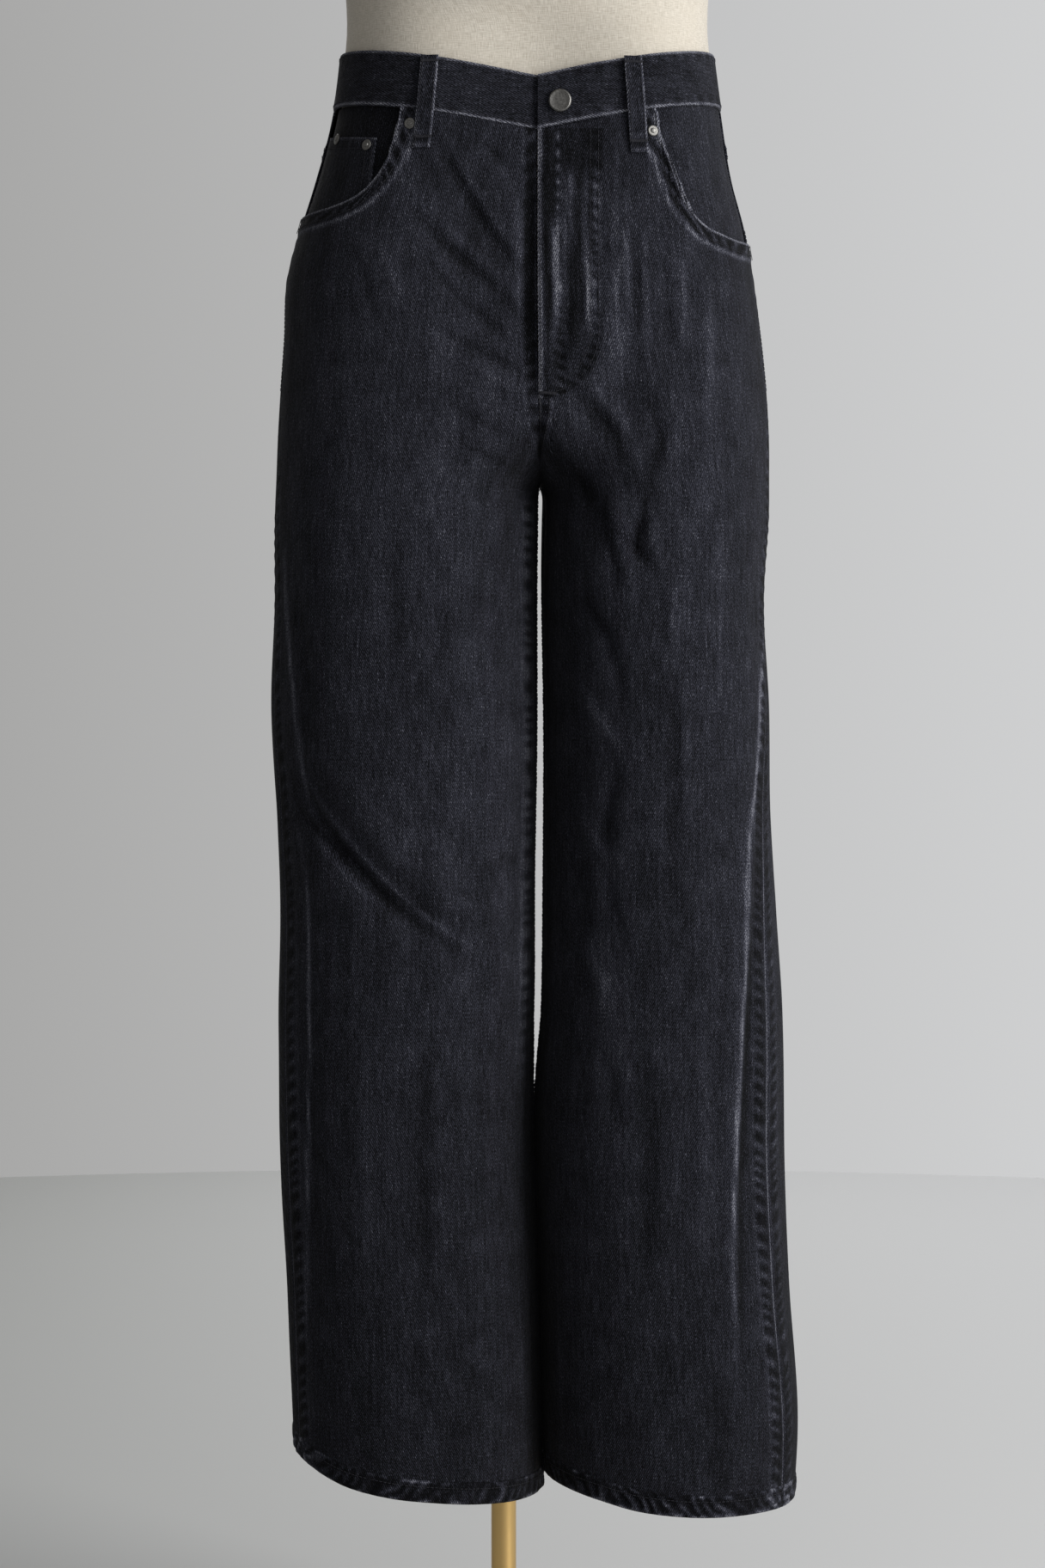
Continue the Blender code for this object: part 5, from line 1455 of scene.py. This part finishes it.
# %% Back pockets
BACK_POCKET = {"width": 0.140, "height": 0.150, "point": 0.022, "taper": 0.014,
               "top_z": 1.108, "across": 0.006}
halves = spread_out(BACK_POCKET["width"], 0.0014, 0.0030, 0.012) - 0.5
low = BACK_POCKET["top_z"] - BACK_POCKET["height"] + BACK_POCKET["point"] * np.abs(2 * halves)
rows = []
for t in spread_out(BACK_POCKET["height"], 0.0014, 0.0030, 0.014):
    width = BACK_POCKET["width"] - BACK_POCKET["taper"] * (1 - t)
    heights = low + (BACK_POCKET["top_z"] - low) * t
    rows.append(np.column_stack([BACK_POCKET["across"] + width * halves, heights]))
pocket_grid = np.array(rows)
for side in SIDES:
    points, facts = cloth(side, "back", pocket_grid[..., 0], pocket_grid[..., 1])
    from_top = BACK_POCKET["top_z"] - pocket_grid[..., 1]
    from_low = pocket_grid[..., 1] - low
    width = np.ptp(pocket_grid[..., 0], axis=1)[:, None]
    from_side = width * (0.5 - np.abs(halves))
    rim = np.minimum(from_side, from_low)
    beads = pucker(pocket_grid[..., 1] + pocket_grid[..., 0], 0.010)
    out = LAYER_GAP + DENIM + 0.0002 * smooth(rim / 0.004)
    out = out + 0.0006 * (1 - smooth((from_top - 0.014) / 0.003))
    out += 0.0003 * beads * (line_at(rim, 0.005, 0.004) + line_at(from_top, 0.008, 0.005))
    points = points + facts["normals"] * out[..., None]
    wear_and_shade = base_wear_and_shade(side, "back", facts, pocket_grid[..., 1]) + 0.30 * line_at(rim, 0.0004, 0.0012)
    wear_and_shade += 0.30 * line_at(from_top, 0.0004, 0.0012) + 0.12 * line_at(from_top, 0.0155, 0.0016)
    wear_and_shade += 0.15 * beads * line_at(rim, 0.005, 0.004)
    node = f"back_pocket_{side}"
    piece = cloth_piece(f"denim_{node}", node, points, pocket_grid, wear_and_shade, thickness=0.0012)
    cut(piece, points, (BACK_POCKET["width"], BACK_POCKET["height"]))

# %% Belt loops
LOOP_WIDTH, LOOP_WALL = 0.013, 0.0014


def share_of_x(side, x):
    inner, outer = Section(side, [WAIST_SIDE_Z]).edges("front")
    return float((across_of_x(side, [x], [WAIST_SIDE_Z])[0] - inner[0]) / (outer[0] - inner[0]))


LOOPS = [
    # node, side, face, share of the panel's width, drop below the waist seam
    ("belt_loop_1", "right", "front", share_of_x("right", -0.0557), 0.029),
    ("belt_loop_2", "left", "front", share_of_x("left", 0.0975), 0.032),
    ("belt_loop_3", "left", "back", 0.740, 0.020),
    ("belt_loop_4", "left", "back", 0.0, 0.020),
    ("belt_loop_5", "right", "back", 0.740, 0.020),
]
loop_rise = Table("place lift", [(0, 0.0010), (0.12, 0.0013), (0.3, 0.0023), (0.5, 0.0031),
                                 (0.8, 0.0029), (1, 0.0016)])
offsets = LOOP_WIDTH * np.array([-0.5, -0.47, -0.36, -0.2, 0, 0.2, 0.36, 0.47, 0.5])
ribs = np.array([-0.0005, 0.0, 0.0002, -0.0002, -0.0003, -0.0002, 0.0002, 0.0, -0.0005])
loop_grids = []
for node, side, face, share, drop in LOOPS:
    climbs = np.linspace(0, 1, 34)
    heights = float(waist_seam(face, share)) - drop + (drop + BAND_HEIGHT) * climbs
    lift = loop_rise.at(climbs, "lift") + LOOP_WALL - 0.0007 * line_at(climbs, 0.13, 0.03)
    columns = []
    for offset, rib in zip(offsets, ribs):
        where = ("right" if offset < 0 else "left") if node == "belt_loop_4" else side
        if node == "belt_loop_4":
            across = across_at(where, face, np.zeros(34), heights) + abs(offset)
        else:
            across = across_at(side, face, np.full(34, share), heights) + offset
        points, normals, _, _ = surface(where, face, across[:, None], heights[:, None])
        columns.append(points[:, 0] + normals[:, 0] * (lift + rib)[:, None])
    points = np.array(columns).transpose(1, 0, 2)
    chart = np.stack(np.broadcast_arrays(offsets[None, :], heights[:, None]), axis=-1)
    wear_and_shade = 0.38 + 0.60 * line_at(np.abs(chart[..., 0]), 0.0063, 0.0013)
    wear_and_shade += 0.10 * ripple(points, (0.004, 0.004, 0.006))
    for place, width, amount in ((0.02, 0.02, 0.45), (0.10, 0.03, -0.25), (0.17, 0.02, 0.30)):
        wear_and_shade += amount * line_at(climbs, place, width)[:, None]
    piece = cloth_piece(f"denim_{node}", node, points, chart, wear_and_shade, thickness=0.0013)
    cut(piece, points, (LOOP_WIDTH, float(np.ptp(heights))))
    loop_grids.append(points)

# %% [markdown]
# ## Stitches
#
# Topstitching is thick black thread in dashes of about three millimetres. One stitch is a
# tiny bead with tapered ends. It is copied along every sewn line, and all the stitches of
# one area become one mesh. A bar tack is the same thread packed side by side.

# %% Stitch helpers
STITCH_PITCH = 0.0032
STITCH_LENGTH = 0.0026
THREAD_RADIUS = 0.00030
TACK_PITCH = 0.00048
TWIN_ROWS = (0.0022, 0.0082)  # how far two rows of stitches lie from their seam
SIDES_OF_BEAD = 5
bead_rings = [(-0.5, 0.25), (-0.36, 0.9), (0.36, 0.9), (0.5, 0.25)]
bead_turns = np.arange(SIDES_OF_BEAD) * 2 * math.pi / SIDES_OF_BEAD
bead = np.array([(along, radius * math.cos(a), radius * math.sin(a))
                 for along, radius in bead_rings for a in bead_turns])
bead_faces = []
for low in range(0, len(bead) - SIDES_OF_BEAD, SIDES_OF_BEAD):
    high = low + SIDES_OF_BEAD
    for c in range(SIDES_OF_BEAD):
        ahead = (c + 1) % SIDES_OF_BEAD
        bead_faces.append((low + c, low + ahead, high + ahead, high + c))
bead_faces += [(4, 3, 2, 1, 0), (15, 16, 17, 18, 19)]
thread = Recipe("black_thread")
fuzz = thread.noise(thread.coordinates("Object"), (900, 900, 900), 2.0)
thread.put(Base_Color=thread.mix(fuzz, (0.004, 0.004, 0.005, 1), (0.040, 0.040, 0.048, 1)),
           Roughness=0.8, Specular_IOR_Level=0.08)


def frames_on(points, normals, pitch):
    """Evenly spaced places, directions and normals along a line of points."""
    run = run_along(points)
    count = max(int(run[-1] / pitch), 1)
    places = (np.arange(count) + 0.5) * run[-1] / count
    way = points_at(places + 0.0008, run, points) - points_at(places - 0.0008, run, points)
    way /= np.linalg.norm(way, axis=1, keepdims=True)
    return points_at(places, run, points), way, points_at(places, run, normals)


def beads_at(at, way, up, length, radius):
    """Corner points of one bead for each place."""
    side_way = np.cross(up, way)
    side_way /= np.linalg.norm(side_way, axis=1, keepdims=True)
    up = np.cross(way, side_way)
    axes = ((way, length), (side_way, radius), (up, radius))
    return at[:, None] + sum(axis[:, None] * bead[None, :, k, None] * size
                             for k, (axis, size) in enumerate(axes))


def sewn(name, groups):
    """One mesh from groups of bead corners, five-sided and closed at both ends."""
    corners = np.concatenate([g.reshape(-1, 3) for g in groups])
    starts = range(0, len(corners), len(bead))
    faces = [tuple(start + i for i in face) for start in starts for face in bead_faces]
    mesh = bpy.data.meshes.new(name)
    mesh.from_pydata(corners.tolist(), [], faces)
    mesh.materials.append(thread.material)
    mesh.shade_smooth()
    made = placed(name, mesh)
    settle(made)
    print(name, len(starts), "stitches")


def line_on(side, face, across, height, out):
    """(points, normals) of a sewn line laid on the creased cloth."""
    across, height = np.asarray(across, float)[:, None], np.asarray(height, float)[:, None]
    points, facts = cloth(side, face, across, height, out)
    return points[:, 0], facts["normals"][:, 0]


def row_along(points, normals):
    """A row of stitches along a line of points."""
    return beads_at(*frames_on(points, normals, STITCH_PITCH), STITCH_LENGTH, THREAD_RADIUS)


def row_of(side, face, across, height, out):
    return row_along(*line_on(side, face, across, height, out))


def tack_along(points, normals, wide, radius):
    """Threads side by side across a line of points."""
    at, way, up = frames_on(points, normals, TACK_PITCH)
    return beads_at(at, np.cross(up, way), up, wide, radius)


def tack_on(start, end, out, side):
    """A bar tack on a front panel, from one place to another."""
    across, height = (np.array(start) + (np.array(end) - start) * np.linspace(0, 1, 12)[:, None]).T
    points, normals = line_on(side, "front", across, height, out)
    return tack_along(points, normals, 0.0024, THREAD_RADIUS * 0.9)


# %% Stitches of the legs
for side in SIDES:
    groups = []
    heights = np.arange(0.215, CROTCH_Z - 0.003, 0.004)
    inner, _ = Section(side, heights).edges("front")
    for inset in TWIN_ROWS:
        groups.append(row_of(side, "front", inner + inset, heights, 0.0002))
    heights = np.arange(1.02, 1.145, 0.004)
    _, outer = Section(side, heights).edges("back")
    groups.append(row_of(side, "back", outer - 0.0024, heights, 0.0002))
    shares = np.linspace(0.02, 0.99, 90)
    edge = mouth_edge(side, shares)
    slope = np.gradient(edge, axis=0)
    slope /= np.linalg.norm(slope, axis=1, keepdims=True)
    inward = np.column_stack([slope[:, 1], -slope[:, 0]])
    for inset in (0.0022, 0.0088):
        row = edge + inward * inset
        _, outer = Section(side, row[:, 1]).edges("front")
        keep = row[:, 0] < outer - 0.001
        groups.append(row_of(side, "front", row[keep, 0], row[keep, 1], 0.0009))
    shares = np.linspace(0.01, 0.99, 60)
    for above in TWIN_ROWS:
        z = yoke_seam(shares) + above
        groups.append(row_of(side, "back", across_at(side, "back", shares, z), z, 0.0008))
    sewn(f"stitches_leg_{side}", groups)

# %% Stitches of the centre seams, fly and pockets
groups = []
for face, top, first, count, out in (("front", FLY_BOTTOM_Z, 12, 40, 0.0002),
                                     ("back", SEAT_SEAM_TOP_Z, 6, 50, 0.0004)):
    turns = np.radians(np.linspace(first, 90, count))
    heights = top - (top - CROTCH_Z) * np.cos(turns)
    if face == "back":
        heights = np.concatenate([heights, np.linspace(top + 0.004, WAIST_BACK_Z - 0.024, 30)])
    inner, _ = Section("left", heights).edges(face)
    for inset in TWIN_ROWS:
        groups.append(row_of("left", face, inner + inset, heights, out))
heights = np.linspace(fly_low + 0.006, fly_top - 0.001, 60)
inner, _ = Section("left", heights).edges("front")
groups.append(row_of("left", "front", inner + 0.0022, heights, FLY_GAP + DENIM + 0.0003))
angles = np.linspace(0, np.pi / 2, 30)
for inset, lay in ((0.0028, 0.0016), (0.0088, 0.0021)):
    wide, tall = FLY_WIDTH - inset, FLY_CURVE - inset
    straight = np.linspace(fly_low + FLY_CURVE + 0.003, fly_top - 0.001, 40)
    z = np.concatenate([fly_low + FLY_CURVE - tall * np.cos(angles), straight])
    reach = np.concatenate([wide * np.sin(angles), np.full(40, wide)])
    inner, _ = Section("left", z).edges("front")
    groups.append(row_of("left", "front", inner + reach, z, lay))
edge = Section("left", [fly_low + 0.004]).edges("front")[0][0]
fly_end = (edge + 0.001, fly_low + 0.004), (edge + 0.013, fly_low + 0.003)
groups.append(tack_on(*fly_end, 0.0024, "left"))
for side in SIDES:
    end = mouth_edge(side, np.array([0.97]))[0]
    groups.append(tack_on(end - [0.001, 0.001], end - [0.001, 0.012], 0.0012, side))
sewn("stitches_centre", groups)

groups = []
POCKET_ROWS = (0.0024, 0.0084)  # how far the stitches lie inside a pocket's edge
for inset in POCKET_ROWS:
    z = COIN["top_z"] + COIN["top_rise"] * np.linspace(0, 1, 26) - inset
    along_top = np.column_stack([coin_grid[-1, :, 0], z])[1:-1]
    for line in (along_top, coin_grid[4:, 0] + [inset, 0]):
        out = -DENIM - LAYER_GAP + 0.0002
        points, normals = pressed("right", "front", line[:, :1], line[:, 1:], out)
        groups.append(row_along(points[:, 0], normals[:, 0]))
middle, top_z = BACK_POCKET["across"], BACK_POCKET["top_z"]
half_top, low_z = BACK_POCKET["width"] / 2, top_z - BACK_POCKET["height"]
half_low = half_top - BACK_POCKET["taper"] / 2
for side in SIDES:
    for inset in POCKET_ROWS:
        down = [(-half_top + inset, top_z - 0.001),
                (-half_low + inset, low_z + BACK_POCKET["point"] + inset * 0.6)]
        up = [(-x, z) for x, z in reversed(down)]
        path = np.array([*down, (0, low_z + inset * 1.05), *up]) + [middle, 0]
        run = run_along(path)
        path = points_at(np.linspace(0, run[-1], 220), run, path)
        groups.append(row_of(side, "back", path[:, 0], path[:, 1], LAYER_GAP + DENIM + 0.0005))
    for drop in (0.0030, 0.0140):
        across = np.linspace(middle - 0.067, middle + 0.067, 50)
        heights = np.full(50, top_z - drop)
        groups.append(row_of(side, "back", across, heights, LAYER_GAP + DENIM + 0.0010))
sewn("stitches_pockets", groups)

# %% Stitches of the waistband, loops and hems


def grid_rows(points, picks):
    """Lines just above a grid's rows, with their normals."""
    for row in picks:
        line = points[row]
        along = np.gradient(line, axis=0)
        up = np.gradient(points, axis=0)[row]
        normal = np.cross(along, up)
        normal /= np.linalg.norm(normal, axis=1, keepdims=True)
        away = line[:, :2] - HIPS_MIDDLE
        normal = normal * np.sign((normal[:, :2] * away).sum(axis=1))[:, None]
        yield line + normal * 0.0002, normal


groups = [row_along(*row) for row in grid_rows(band_points, (3, len(rises) - 2))]
for points in loop_grids:
    groups += [row_along(*row) for row in grid_rows(points.transpose(1, 0, 2), (2, 6))]
    groups += [tack_along(*row, 0.0022, THREAD_RADIUS) for row in grid_rows(points, (4, 31))]
sewn("stitches_waist", groups)

for side in SIDES:
    groups = []
    for face in ("front", "back"):
        shares = np.linspace(0, 1, 160)
        z = hem_line(side, face, shares) + HEM_HEIGHT * 0.72
        groups.append(row_of(side, face, across_at(side, face, shares, z), z, 0.0007))
    sewn(f"stitches_hem_{side}", groups)

# %% [markdown]
# ## Metal trims
#
# Rivets and the waist button are dark nickel, a little worn. Each is turned like a coin:
# a cylinder is added at its size, its top face is inset and pushed down or up for the rim
# and the dimple, and a narrow bevel takes off the sharp edges.

# %% Dark nickel
nickel = Recipe("dark_nickel")
patina = nickel.noise(nickel.coordinates("Object"), (700, 700, 700), 4.0, 0.6)
nickel.put(Base_Color=nickel.mix(patina, (0.050, 0.048, 0.047, 1), (0.24, 0.235, 0.225, 1)),
           Metallic=1.0, Roughness=nickel.span(patina, 0.2, 0.8, 0.30, 0.55),
           Normal=nickel.bump(patina, 0.00006))
print("material:", nickel.material.name)

# %% Rivets and button


def stud_seat(side, x, z):
    points, normals = pressed(side, "front", across_of_x(side, [x], [z])[None], np.array([[z]]))
    return points[0, 0], normals[0, 0]


def turned_stud(node, radius, steps, place, normal, segments=40):
    """A coin shape whose top is inset and moved, step by step, then set on the cloth."""
    bpy.ops.object.select_all(action="DESELECT")
    bpy.ops.mesh.primitive_cylinder_add(
        vertices=segments, radius=radius, depth=steps[0], location=(0, 0, steps[0] / 2))
    made = bpy.context.object
    made.name = f"nickel_{node}"
    bpy.ops.object.transform_apply(location=True, rotation=True, scale=True)
    bpy.ops.object.mode_set(mode="EDIT")
    bpy.ops.mesh.select_mode(type="FACE")
    for inset, move in steps[1:]:
        bpy.ops.mesh.select_all(action="DESELECT")
        pick_top_face(made.data)
        bpy.ops.mesh.inset(thickness=inset, depth=0)
        bpy.ops.transform.translate(value=(0, 0, move))
    bpy.ops.object.mode_set(mode="OBJECT")
    edge = made.modifiers.new("edge", "BEVEL")
    edge.width, edge.segments, edge.limit_method = 0.00016, 2, "ANGLE"
    bpy.ops.object.modifier_apply(modifier="edge")
    points = np.array([v.co for v in made.data.vertices])
    level = np.cross((0, 0, 1.0), normal)
    level /= np.linalg.norm(level)
    axes = np.stack([level, np.cross(normal, level), normal])
    points = place + points @ axes
    made.data.vertices.foreach_set("co", points.reshape(-1).astype(np.float32))
    made.data.update()
    bpy.ops.object.shade_smooth_by_angle(angle=math.radians(38))
    made.data.materials.clear()
    made.data.materials.append(nickel.material)
    made.select_set(False)
    settle(made, node)


def pick_top_face(mesh):
    """Selects the face nearest the axis that looks up."""
    shape = bmesh.from_edit_mesh(mesh)
    looking_up = [face for face in shape.faces if face.normal.z > 0.9]
    min(looking_up, key=lambda face: face.calc_center_median().xy.length).select_set(True)
    bmesh.update_edit_mesh(mesh)


RIVETS = [
    ("rivet_mouth_right", "right", -0.0688, 1.2120, 0.0005),
    ("rivet_mouth_left", "left", 0.1108, 1.2065, 0.0005),
    ("rivet_coin_inner", "right", -0.1022, 1.1985, -0.0015),
    ("rivet_coin_outer", "right", -0.1262, 1.2070, -0.0015),
]
RIVET_RADIUS, RIVET_STEPS = 0.0042, [0.0006, (0.0007, 0.0005), (0.0016, -0.0002), (0.0003, 0.0008)]
BUTTON_RADIUS, BUTTON_STEPS = 0.0085, [0.0022, (0.0010, 0.0009), (0.0018, -0.0007), (0.0012, 0.0)]
for node, side, x, z, out in RIVETS:
    place, normal = stud_seat(side, x, z)
    turned_stud(node, RIVET_RADIUS, RIVET_STEPS, place + normal * out, normal)
z = WAIST_FRONT_Z + BAND_HEIGHT / 2
across = Section("left", [z]).edges("front")[0] + 0.017
points, normals, _, _ = surface("left", "front", across[None], np.array([[z]]))
place = points[0, 0] + normals[0, 0] * (BAND_PROUD + BAND_WALL + LAYER_GAP + 0.0005)
turned_stud("waist_button", BUTTON_RADIUS, BUTTON_STEPS, place, normals[0, 0], 64)
print("trims: 5")

# %% [markdown]
# ## Zip
#
# Only its tape and teeth lie behind the flap, out of sight from the front. The tape is a
# thin strip. The teeth are one small block, copied up the tape in a row.

# %% Zip tape
ZIP_WIDTH, ZIP_LENGTH = 0.024, 0.161
zip_heights = np.linspace(1.035, 1.196, 60)
inner, _ = Section("left", zip_heights).edges("front")
zip_across = (inner + SEAM_GAP * 3)[:, None] + ZIP_WIDTH * np.linspace(0, 1, 9)[None, :]
zip_height = np.repeat(zip_heights[:, None], 9, axis=1)
points, facts = cloth("left", "front", zip_across, zip_height, -DENIM - LAYER_GAP)
tape = Recipe("zip_tape")
tape_ribs = tape.noise(tape.coordinates("chart"), (300, 2600, 1), 1.0)
tape.put(Base_Color=tape.mix(tape_ribs, (0.008, 0.008, 0.009, 1), (0.030, 0.030, 0.033, 1)),
         Roughness=0.85, Specular_IOR_Level=0.1, Normal=tape.bump(tape_ribs, 0.0001))
chart = np.stack([zip_across, zip_height], axis=-1)
zip_tape = cloth_piece("zip_tape_left", "zip", points, chart, np.full(points.shape[:2], 0.2),
                       thickness=0.0006, finish=tape.material)
print("zip tape:", points.shape[:2])

# %% Zip teeth
TOOTH_SIZE = (0.0030, 0.0010, 0.0011)  # across the tape, up it, and out from it
bpy.ops.object.select_all(action="DESELECT")
bpy.ops.mesh.primitive_cube_add(size=1)
zip_teeth = bpy.context.object
zip_teeth.name = "zip_teeth"
tooth = np.array([v.co for v in zip_teeth.data.vertices]) * TOOTH_SIZE
tooth_faces = np.array([list(face.vertices) for face in zip_teeth.data.polygons])
tooth_heights = np.arange(zip_heights[0] + 0.002, zip_heights[-1] - 0.002, 0.0022)[:, None]
tooth_across = (Section("left", tooth_heights[:, 0]).edges("front")[0] + 0.0030)[:, None]
seats, facts = cloth("left", "front", tooth_across, tooth_heights, -DENIM - LAYER_GAP - 0.0013)
outward = facts["normals"][:, 0]
level = np.cross(outward, (0, 0, 1.0))
upward = np.cross(level, outward)
axes = (level, upward, outward)
corners = seats + sum(tooth[None, :, k, None] * axis[:, None, :] for k, axis in enumerate(axes))
blocks = tooth_faces[None] + len(tooth) * np.arange(len(seats))[:, None, None]
zip_teeth.data.clear_geometry()
zip_teeth.data.from_pydata(corners.reshape(-1, 3).tolist(), [], blocks.reshape(-1, 4).tolist())
zip_teeth.data.materials.append(nickel.material)
zip_teeth.select_set(False)
settle(zip_teeth)
print("zip teeth:", len(seats))

# %% [markdown]
# ## Dress form and stand
#
# The jeans hang on a limbless torso covered in plain linen. It is smooth and whole, and it
# stands on a brass pole that runs down inside the wearer's right leg to a round foot. The
# torso is a stack of rings, skinned and then smoothed with a Subdivision Surface.

# %% Linen
linen = Recipe("form_linen")
body_place = linen.coordinates("chart")
weft = linen.noise(body_place, (150, 1600, 1), 1.0)
warp = linen.noise(body_place, (1600, 150, 1), 1.0)
blot = linen.noise(body_place, (24, 24, 1), 4.0, 0.6)
weave = linen.math("ADD", linen.math("MULTIPLY", weft, 0.5), linen.math("MULTIPLY", warp, 0.5))
cover = linen.mix(linen.span(weave, 0.35, 0.65), (0.34, 0.31, 0.26, 1), (0.51, 0.475, 0.415, 1))
linen.put(Base_Color=linen.mix(linen.span(blot, 0.3, 0.7, 0, 0.35), cover, (0.43, 0.385, 0.32, 1)),
          Roughness=0.9, Sheen_Weight=0.08, Normal=linen.bump(weave, 0.00035))
print("material:", linen.material.name)

# %% Dress form
FORM_CENTRE = (0.018, 0.010)
FORM_TOP = 1.725
CHART_ROUND = 0.9  # how wide the chart is, once round the form
TORSO = Table("height half_width front_y back_y", in_mm("""
    1310 137.5 -93 100
    1360 142 -101 101
    1430 156 -122 106
    1490 166 -116 112
    1550 178 -92 110
    1590 176 -72 100
    1620 140 -60 88
    1645 85 -52 74
    1670 60 -48 64
    1725 56 -46 60
"""))
FORM_INSET = Table("height inset shrink", in_mm("""
    1005 10 700
    1012 10 800
    1030 10 890
    1060 10 960
    1100 10 1000
    1150 9 1000
    1236 6.6 1000
    1250 2.9 1000
    1262 2.9 1000
    1290 2.9 1000
"""))
shares = np.linspace(0, 1, 25)
rings = []
for z in (1.005, 1.012, 1.03, 1.06, 1.10, 1.15, 1.20, 1.236, 1.25, 1.27, 1.29):
    ring = []
    for side, face, order in (("left", "front", shares[:-1]), ("left", "back", shares[:0:-1]),
                              ("right", "back", shares[:-1]), ("right", "front", shares[:0:-1])):
        heights = np.full(order.shape, max(z, SEAT_SEAM_TOP_Z))
        points, normals, _, _ = surface(side, face, across_at(side, face, order, heights), heights)
        ring.append(points[0] - normals[0] * (FORM_INSET.at(z, "inset") + 0.0003))
    ring = np.concatenate(ring)
    ring[:, 2] = z
    centre = np.array([*FORM_CENTRE, z])
    rings.append(centre + (ring - centre) * FORM_INSET.at(z, "shrink"))
angles = -np.pi / 2 + np.arange(96) * 2 * np.pi / 96
sideways = np.sign(np.cos(angles)) * np.abs(np.cos(angles)) ** 0.9
forward = np.sign(np.sin(angles)) * np.abs(np.sin(angles)) ** 0.9
for z in (1.31, 1.335, 1.36, 1.385, 1.41, 1.435, 1.46, 1.485, 1.51, 1.535, 1.555, 1.575, 1.59, 1.60,
          1.61, 1.62, 1.63, 1.64, 1.65, 1.66, 1.675, 1.69, 1.71):
    reach = np.where(forward < 0, -TORSO.at(z, "front_y"), TORSO.at(z, "back_y"))
    x = FORM_CENTRE[0] + TORSO.at(z, "half_width") * sideways
    rings.append(np.column_stack([x, reach * forward, np.full(96, z)]))
neck_ring, neck = rings[-1], rings[-1].mean(axis=0)
for share, drop in ((0.985, 0.008), (0.94, 0.003), (0.86, 0.0008), (0.6, 0.0), (0.3, 0.0)):
    ring = neck + (neck_ring - neck) * share
    ring[:, 2] = FORM_TOP - drop
    rings.append(ring)
under = rings[0].mean(axis=0)
rings = np.array([under + (rings[0] - under) * share for share in (0.3, 0.7, 0.93)] + rings)
count, around = rings.shape[:2]
points = np.concatenate([rings.reshape(-1, 3), [rings[0].mean(axis=0), rings[-1].mean(axis=0)]])
index = np.arange(count * around).reshape(count, around)
faces = cells(np.concatenate([index, index[:, :1]], axis=1)).reshape(-1, 4).tolist()
first, last = index[0], index[-1]
faces += [(count * around, first[c - around + 1], first[c]) for c in range(around)]
faces += [(count * around + 1, last[c], last[c - around + 1]) for c in range(around)]
mesh = bpy.data.meshes.new("linen_form")
mesh.from_pydata(points.tolist(), [], faces)
mesh.materials.append(linen.material)
uv_map = mesh.uv_layers.new(name="chart")
for polygon in mesh.polygons:
    turns = [v % around / around * CHART_ROUND for v in polygon.vertices]
    for turn, vertex, loop in zip(turns, polygon.vertices, polygon.loop_indices):
        wrapped = CHART_ROUND if max(turns) - turn > CHART_ROUND / 2 else 0
        uv_map.data[loop].uv = (turn + wrapped, points[vertex][2])
form = placed("linen_form", mesh)
bpy.context.view_layer.objects.active = form
form.select_set(True)
rounder = form.modifiers.new("rounder", "SUBSURF")
rounder.levels = rounder.render_levels = 1
bpy.ops.object.modifier_apply(modifier="rounder")
form.select_set(False)
form.data.shade_smooth()
settle(form, "dress_form")
print("form faces:", len(form.data.polygons))

# %% Brass stand
brass = Recipe("satin_brass")
stand_place = brass.coordinates("Object")
brushed = brass.noise(stand_place, (900, 900, 12), 2.0)
smear = brass.noise(stand_place, (30, 30, 14), 4.0, 0.6)
brass.put(Base_Color=brass.mix(smear, (0.65, 0.44, 0.175, 1), (0.70, 0.475, 0.195, 1)),
          Metallic=1.0, Roughness=brass.span(smear, 0.3, 0.7, 0.30, 0.34),
          Normal=brass.bump(brushed, 0.00003))


def lathe(name, profile, segments, node):
    """A profile of (radius, height) pairs, spun round the upright axis."""
    bpy.ops.object.select_all(action="DESELECT")
    mesh = bpy.data.meshes.new(name)
    mesh.from_pydata([(r, 0, z) for r, z in profile], [(k, k + 1) for k in range(len(profile) - 1)], [])
    made = placed(name, mesh)
    bpy.context.view_layer.objects.active = made
    made.select_set(True)
    bpy.ops.object.mode_set(mode="EDIT")
    bpy.ops.mesh.select_all(action="SELECT")
    bpy.ops.mesh.spin(steps=segments, angle=2 * math.pi, center=(0, 0, 0), axis=(0, 0, 1))
    bpy.ops.mesh.select_all(action="SELECT")
    bpy.ops.mesh.remove_doubles(threshold=0.00001)
    bpy.ops.mesh.normals_make_consistent(inside=False)
    bpy.ops.object.mode_set(mode="OBJECT")
    bpy.ops.object.shade_smooth_by_angle(angle=math.radians(35))
    made.data.materials.append(brass.material)
    made.select_set(False)
    settle(made, node)
    return made


# Radius and height, in mm. POLE_HIGH is measured from its top end.
FOOT = in_mm("""
    0 0
    175 0
    175 5
    174.5 6.2
    173.5 6.9
    172 7.3
    165 8
    0 8
""")
POLE_LOW = in_mm("""
    0 0
    24.8 0
    25 0.4
    25 2.6
    24.4 3.4
    15 9
    13.2 11.8
    13 12.5
    13 25.5
    12.6 26.2
    9.6 28
""")
POLE_HIGH = in_mm("""
    9.6 -10
    15 -7.2
    15.4 -6.6
    15.4 0
    0 0
""")
foot = lathe("brass_foot", FOOT, 160, "base")
low, high = 0.008 + SEAM_GAP, 1.005 - SEAM_GAP
profile = [(r, low + z) for r, z in POLE_LOW] + [(r, high + z) for r, z in POLE_HIGH]
pole = lathe("brass_pole", profile, 64, "pole")
print("stand:", len(foot.data.polygons), len(pole.data.polygons), "faces")
